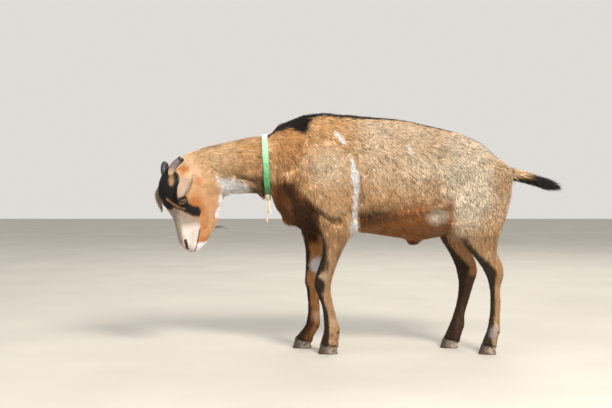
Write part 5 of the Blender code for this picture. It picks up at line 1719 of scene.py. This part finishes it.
def makeClawMaterial():
    # hoof horn: dull keratin, brown-black at the toe, dusty with dried earth at the heels, fine rings
    material, tree = newMaterial("dustyHoofHorn", 0.68, 1.52)
    place = addNode(tree, "ShaderNodeTexCoord").outputs["Object"]
    spot = addNode(tree, "ShaderNodeAttribute", attribute_name="spot")
    parts = addNode(tree, "ShaderNodeSeparateXYZ", {0: spot.outputs["Vector"]})
    spread = addNode(tree, "ShaderNodeMapping", {"Vector": place, "Scale": (160, 160, 900)})
    lines = addNode(tree, "ShaderNodeTexNoise", {"Vector": spread.outputs[0], "Scale": 1.0, "Detail": 4.0})
    clouds = addNode(tree, "ShaderNodeTexNoise", {"Vector": place, "Scale": 130.0, "Detail": 5.0})
    horn = addNode(tree, "ShaderNodeMix", {0: lines.outputs["Fac"], 6: srgb("#120D0B"), 7: srgb("#4A3A30")},
                   data_type="RGBA")
    back = addNode(tree, "ShaderNodeMapRange", {0: parts.outputs[0], 1: 0.25, 2: 0.75, 3: 0.04, 4: 1.0})
    patches = addNode(tree, "ShaderNodeMapRange",
                      {0: clouds.outputs["Fac"], 1: 0.36, 2: 0.60, 3: 0.15, 4: 0.9})
    dust = addNode(tree, "ShaderNodeMath", {0: back.outputs[0], 1: patches.outputs[0]}, operation="MULTIPLY")
    edge = addNode(tree, "ShaderNodeMapRange", {0: parts.outputs[1], 1: 0.02, 2: 0.16, 3: 0.25, 4: 1.0})
    clean = addNode(tree, "ShaderNodeMath", {0: dust.outputs[0], 1: edge.outputs[0]}, operation="MULTIPLY")
    dusty = addNode(tree, "ShaderNodeMix", {0: clean.outputs[0], 6: horn.outputs[2], 7: srgb("#AB9A86")},
                    data_type="RGBA")
    bump = addNode(tree, "ShaderNodeBump",
                   {"Height": lines.outputs["Fac"], "Strength": 0.5, "Distance": 0.0004})
    wire(tree, {"Base Color": dusty.outputs[2], "Normal": bump.outputs[0]})
    return material


def makeClaws():
    material = makeClawMaterial()
    for end, side, place in itertools.product(("front", "hind"), ("left", "right"), ("inner", "outer")):
        node = f"claw_{end}_{side}_{place}"
        name = "claw" + end.capitalize() + side.capitalize() + place.capitalize()
        claw = mergedNodes(name, [node])
        addModifier(claw, "REMESH", mode="VOXEL", voxel_size=claws["voxel"])
        addModifier(claw, "SMOOTH", factor=0.5, iterations=4)
        baked(claw)
        points, normals = pointsOf(claw.data), normalsOf(claw.data)
        lowest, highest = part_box(node)
        slope = points[:, 2] - 0.25 * (points[:, 0] - lowest[0])
        rings = np.sin(2 * math.pi * slope / claws["ringPitch"] + 1.2 * softNoise(points, 0.012, 41))
        wall = 1 - ramp(np.abs(normals[:, 2]), 0.6, 0.9)
        points += normals * (0.0004 + claws["ringHeight"] * (0.5 + 0.5 * rings) * wall
                             + 0.0003 * softNoise(points, 0.006, 42) * wall)[:, None]
        grounded = points[:, 2] < lowest[2] + 0.0011
        points[grounded, 2] = lowest[2]
        setPoints(claw.data, points)
        claw.data.shade_smooth()
        spot = (points - lowest) / (np.array(highest) - lowest)
        addAttribute(claw.data, "spot", "FLOAT_VECTOR", np.column_stack([spot[:, 0], spot[:, 2], spot[:, 1]]))
        finishPiece(claw, material, "hoof_black", node)
    return material


def makeDewclaws(material):
    # small blunt cones behind each pastern
    angles = np.linspace(0, 2 * math.pi, 12, endpoint=False)
    shares = np.linspace(0, 1, 7)
    widths = claws["dewRadius"] * np.sqrt(np.maximum(0.03, 1 - shares ** 2.4))
    widths *= 1 + 0.05 * (np.arange(7) % 2)
    row = int(claws["dewHeight"] / legStep)
    pieces = []
    for (end, side), (_, high) in legSpans.items():
        reach = claws["reach"][end] * (-1 if side == "left" else 1)
        for spread in (-1, 1):
            root = (high[row] - 0.0050, reach + spread * claws["dewSpread"], claws["dewHeight"] + 0.0020)
            root = np.array(root)
            heading = unit(np.array((0.62, spread * 0.10, -0.78)))
            across = unit(np.cross(heading, (0, 1, 0)))
            other = np.cross(heading, across)

            def ring(index, centre, *_):
                return centre + widths[index] * (np.outer(np.cos(angles), across * 0.8)
                                                 + np.outer(np.sin(angles), other))
            centres = root + bodyOrigin + np.outer(shares, heading) * claws["dewLength"]
            pieces.append(tube("dewclaw", centres, ring, 12))
    finishPiece(joined("dewclaws", pieces), material, "hoof_black")


makeDewclaws(makeClaws())
print("claws ready")


# Collar: a flat woven strap, and the knot of twine that ties it under the throat

def collarPath():
    # the middle of the strap, from rays out of the neck to the strap's own solid
    builder = bmesh.new()
    builder.from_mesh(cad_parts["collar"].data)
    tree = BVHTree.FromBMesh(builder)
    builder.free()
    top, bottom = np.array(collar["top"]), np.array(collar["bottom"])
    y, z = collar["middle"]
    reach = []
    for angle in np.linspace(0, 2 * math.pi, collar["spots"], endpoint=False):
        way = np.array((0, math.sin(angle), math.cos(angle)))
        x = np.interp(z, (bottom[1], top[1]), (bottom[0], top[0]))
        tilt = (top[0] - bottom[0]) / (top[1] - bottom[1])
        way[0] = tilt * way[2]
        origin = np.array((x, y, z)) + bodyOrigin
        hit, total = Vector(origin), 0.0
        while hit is not None and total < 0.15:
            hit, _, _, _ = tree.ray_cast(hit + Vector(way) * 0.0002, Vector(way))
            if hit is not None:
                total = (hit - Vector(origin)).length
        reach.append((total, way, origin))
    lengths = np.array([total for total, _, _ in reach])
    for _ in range(10):
        lengths = (np.roll(lengths, 1) + 2 * lengths + np.roll(lengths, -1)) / 4
    ways = unit(np.array([way for _, way, _ in reach]))
    origin = reach[0][2]
    return origin + ways * (lengths - collar["thickness"] / 2 - collar["sunk"])[:, None], ways


def makeStrapMaterial():
    # webbing: plain-woven polyester, satin threads, deep green below and pale mint along the top, partly
    # sun-faded and partly a painted highlight from above, soiled
    material, tree = newMaterial("wovenWebbing", 0.58, 1.5, {"Sheen Weight": 0.35})
    strap = addNode(tree, "ShaderNodeAttribute", attribute_name="strap")
    parts = addNode(tree, "ShaderNodeSeparateXYZ", {0: strap.outputs["Vector"]})
    turns = []
    for output in (parts.outputs[0], parts.outputs[1]):
        scaled = addNode(tree, "ShaderNodeMath", {0: output, 1: 2 * math.pi / collar["threadPitch"]},
                         operation="MULTIPLY")
        turns.append(addNode(tree, "ShaderNodeMath", {0: scaled.outputs[0]}, operation="SINE"))
    weave = addNode(tree, "ShaderNodeMath", {0: turns[0].outputs[0], 1: turns[1].outputs[0]},
                    operation="MULTIPLY")
    place = addNode(tree, "ShaderNodeTexCoord").outputs["Object"]
    clouds = addNode(tree, "ShaderNodeTexNoise", {"Vector": place, "Scale": 70.0, "Detail": 4.0})
    # paler towards the top of the strap: partly faded colour, partly painted highlight
    spread = addNode(tree, "ShaderNodeMath", {0: parts.outputs[2], 1: 0.72, 2: -0.02},
                     operation="MULTIPLY_ADD")
    fade = addNode(tree, "ShaderNodeMath", {0: clouds.outputs["Fac"], 1: 0.55, 2: spread.outputs[0]},
                   operation="MULTIPLY_ADD")
    fadedAndLitGreen = addNode(tree, "ShaderNodeValToRGB", {0: fade.outputs[0]})
    ramped = fadedAndLitGreen.color_ramp.elements
    ramped[0].position, ramped[0].color = 0.30, srgb("#2F7F43")
    ramped[1].position, ramped[1].color = 0.98, srgb("#DCE8DA")
    ramped.new(0.45).color = srgb("#4C9C60")
    ramped.new(0.66).color = srgb("#86C499")
    ramped.new(0.86).color = srgb("#A9D5B4")
    thread = addNode(tree, "ShaderNodeMapRange", {0: weave.outputs[0], 1: -1.0, 2: 1.0, 3: 0.80, 4: 1.10})
    shaded = addNode(tree, "ShaderNodeVectorMath", {0: fadedAndLitGreen.outputs["Color"], "Scale": thread.outputs[0]},
                     operation="SCALE")
    soil = addNode(tree, "ShaderNodeMapRange", {0: clouds.outputs["Fac"], 1: 0.58, 2: 0.78, 3: 0.0, 4: 0.40})
    soiled = addNode(tree, "ShaderNodeMix", {0: soil.outputs[0], 6: shaded.outputs[0], 7: srgb("#5F6B4E")},
                     data_type="RGBA")
    bump = addNode(tree, "ShaderNodeBump", {"Height": weave.outputs[0], "Strength": 0.6, "Distance": 0.0003})
    wire(tree, {"Base Color": soiled.outputs[2], "Normal": bump.outputs[0]})
    return material


def makeCollar():
    path, outwards = collarPath()
    top, bottom = np.array(collar["top"]), np.array(collar["bottom"])
    wide = unit(np.array((top[1] - bottom[1], 0, bottom[0] - top[0])))
    angles = np.linspace(0, 2 * math.pi, 28, endpoint=False)
    square = [np.sign(f(angles)) * np.abs(f(angles)) ** 0.45 for f in (np.cos, np.sin)]
    thick = collar["thickness"] / 2 * (1 + 0.30 * np.exp(-((np.abs(square[0]) - 0.86) / 0.08) ** 2))

    def ring(index, centre, heading, across, other):
        turn = 2 * math.pi * index / collar["spots"]
        out = unit(outwards[index] - heading * (outwards[index] @ heading))
        sway = 0.0004 * math.sin(3 * turn) + 0.0003 * math.sin(7 * turn + 1)
        width = collar["width"] / 2 * (1 + 0.03 * math.sin(5 * turn))
        return centre + np.outer(square[0] * width + sway, wide) + np.outer(square[1] * thick, out)
    strap = tube("collarStrap", path, ring, 28, closed=True)
    travelled = travelAlong(path)
    height = (path[:, 2] - collar["bottom"][1]) / (collar["top"][1] - collar["bottom"][1])
    marks = np.column_stack([np.repeat(travelled, 28), np.tile(square[0] * collar["width"] / 2, len(path)),
                             np.repeat(height, 28)])
    addAttribute(strap.data, "strap", "FLOAT_VECTOR", marks)
    finishPiece(strap, makeStrapMaterial(), "strap_green", "collar")


def makeKnot():
    # a barrel knot of the same twine: turns laid side by side round the two ends, which leave below it
    low, high = (np.array(corner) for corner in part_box("twine_knot"))
    middle, half = (low + high) / 2, (high - low) / 2 - twine["thickness"] / 2
    turns, steps = twine["knotTurns"], 22
    t = np.linspace(0, 2 * math.pi * turns, turns * steps)
    side = np.linspace(-1, 1, len(t))
    squeeze = 1 - 0.22 * np.abs(side) ** 2
    rise = half[2] * side - 0.0016 * (1 - side) / 2
    coil = np.column_stack([half[0] * squeeze * np.cos(t), half[1] * squeeze * np.sin(t), rise])
    coil[:, 0] += 0.0006 * np.sin(t / turns + 0.8)
    coil[:, 2] += 0.0008 * np.sin(t)
    first, last = (np.array(route[0]) + bodyOrigin for _, route in twine["ends"].values())
    inwards = np.array([(0.0, 0.0, 0.75 * half[2]), (0.0, 0.0, 0.1 * half[2])])
    path = smoothRoute(np.vstack([[first], middle + coil, middle + inwards, [last]]), 32 * turns)
    piece = tube("twineKnot", path, twineRing(twine["thickness"] / 2, travelAlong(path), 12), 12)
    finishPiece(piece, twineMaterial, "twine_cream", "twine_knot")


makeCollar()
makeKnot()
print("collar ready")


# Thin wisps behind the chin, and the lashes of the upper lids

wisps = {
    "seed": 19,
    "sides": 5,
    "hairs": 9,
    "radius": 0.00032,
    "root": (0.170, 0.0, -0.082),
    "reach": (0.034, 0.004, -0.008),
    "lashes": 34,
    "lashLength": 0.0062,
    "lashRadius": 0.00022,
    "whiskers": 11,  # on each side
    "whiskerLength": 0.017,
    "whiskerRadius": 0.00016,
}


def makeBristleTree():
    # round tapering hairs along lines of points, from the thickness kept on each point
    tree = newTree("taperingHairs", Lines="Geometry", Sides="Int", Material="Material")
    given = addNode(tree, "NodeGroupInput").outputs
    curves = addNode(tree, "GeometryNodeMeshToCurve", {"Mesh": given["Lines"]})
    circle = addNode(tree, "GeometryNodeCurvePrimitiveCircle", {"Resolution": given["Sides"], "Radius": 1.0})
    thickness = addNode(tree, "GeometryNodeInputNamedAttribute", {"Name": "thickness"},
                        data_type="FLOAT_VECTOR")
    parts = addNode(tree, "ShaderNodeSeparateXYZ", {0: thickness.outputs["Attribute"]})
    hairs = addNode(tree, "GeometryNodeCurveToMesh", {
        "Curve": curves.outputs[0], "Profile Curve": circle.outputs["Curve"], "Scale": parts.outputs[0],
        "Fill Caps": True})
    real = addNode(tree, "GeometryNodeRealizeInstances", {"Geometry": hairs.outputs[0]})
    coated = addNode(tree, "GeometryNodeSetMaterial", {"Geometry": real.outputs[0],
                                                       "Material": given["Material"]})
    addNode(tree, "NodeGroupOutput", {0: coated.outputs[0]})
    return tree


def makeWisps(material):
    rng = np.random.default_rng(wisps["seed"])
    routes = []
    root = fromHead(wisps["root"])
    for _ in range(wisps["hairs"]):
        start = root + rng.normal(0, 0.0022, 3) * (1, 1.2, 0.6)
        reach = np.array(wisps["reach"]) * rng.uniform(0.55, 1.15) + rng.normal(0, 0.0016, 3)
        bend = np.array((0, rng.normal(0, 0.003), 0.006))
        routes.append((smoothRoute([start, start + reach * 0.35 + bend * 0.6, start + reach * 0.7 + bend,
                                    start + reach], 9), wisps["radius"]))
    for side in ("left", "right"):
        outwards = lidEdge(wisps["lashes"], 0.0014, upperOnly=True)
        away = unit(outwards - np.array(skinPlan["eyePlace"]))
        up = eyeAxes()[1]
        for place, way in zip(outwards, away):
            size = wisps["lashLength"] * rng.uniform(0.7, 1.1)
            lean = unit(way + 0.35 * up + rng.normal(0, 0.12, 3))
            droop = unit(lean + (0.55, 0, -0.10))
            middle = place + lean * size * 0.55
            route = smoothRoute([place, middle, middle + droop * size * 0.5], 6)
            routes.append((fromHead(mirrored(route, side)), wisps["lashRadius"]))
    spots = onHead(skinPoints)
    for side, _ in itertools.product((-1, 1), range(wisps["whiskers"])):
        aim = np.array((rng.uniform(0.186, 0.212), side * 0.020, rng.uniform(-0.040, -0.004)))
        nearest = np.argmin(np.linalg.norm(spots - aim, axis=1))
        start, out = skinPoints[nearest], skinNormals[nearest]
        size = wisps["whiskerLength"] * rng.uniform(0.6, 1.2)
        droop = unit(out + fromHead((0.6, 0, -0.3)) - fromHead((0, 0, 0)) + rng.normal(0, 0.15, 3))
        tip = start + out * size * 0.5 + droop * size * 0.45
        route = smoothRoute([start - out * 0.001, start + out * size * 0.4, tip], 7)
        routes.append((route, wisps["whiskerRadius"]))
    points, edges, thickness = [], [], []
    for route, radius in routes:
        edges += [(i, i + 1) for i in range(len(points), len(points) + len(route) - 1)]
        points.extend(route)
        thickness.extend(radius * (1.05 - np.linspace(0, 1, len(route))) ** 0.6)
    mesh = bpy.data.meshes.new("wispsAndLashes")
    mesh.from_pydata(points, edges, [])
    addAttribute(mesh, "thickness", "FLOAT_VECTOR", np.column_stack([thickness] * 3))
    hairs = bpy.data.objects.new("wispsAndLashes", mesh)
    bpy.context.scene.collection.objects.link(hairs)
    runTree(hairs, makeBristleTree(), Sides=wisps["sides"], Material=material)
    hairs.data.attributes.remove(hairs.data.attributes["thickness"])
    hairs.data.shade_smooth()
    finishPiece(hairs, material, "coat_black")


def makeBristleMaterial():
    # single stiff hairs: glossy dark keratin
    material, tree = newMaterial("darkBristle", 0.38, 1.55)
    place = addNode(tree, "ShaderNodeTexCoord").outputs["Object"]
    vary = addNode(tree, "ShaderNodeTexNoise", {"Vector": place, "Scale": 120.0})
    shade = addNode(tree, "ShaderNodeMix", {0: vary.outputs["Fac"], 6: srgb("#15100E"), 7: srgb("#4A382C")},
                    data_type="RGBA")
    wire(tree, {"Base Color": shade.outputs[2]})
    return material


makeWisps(makeBristleMaterial())
print("wisps ready")
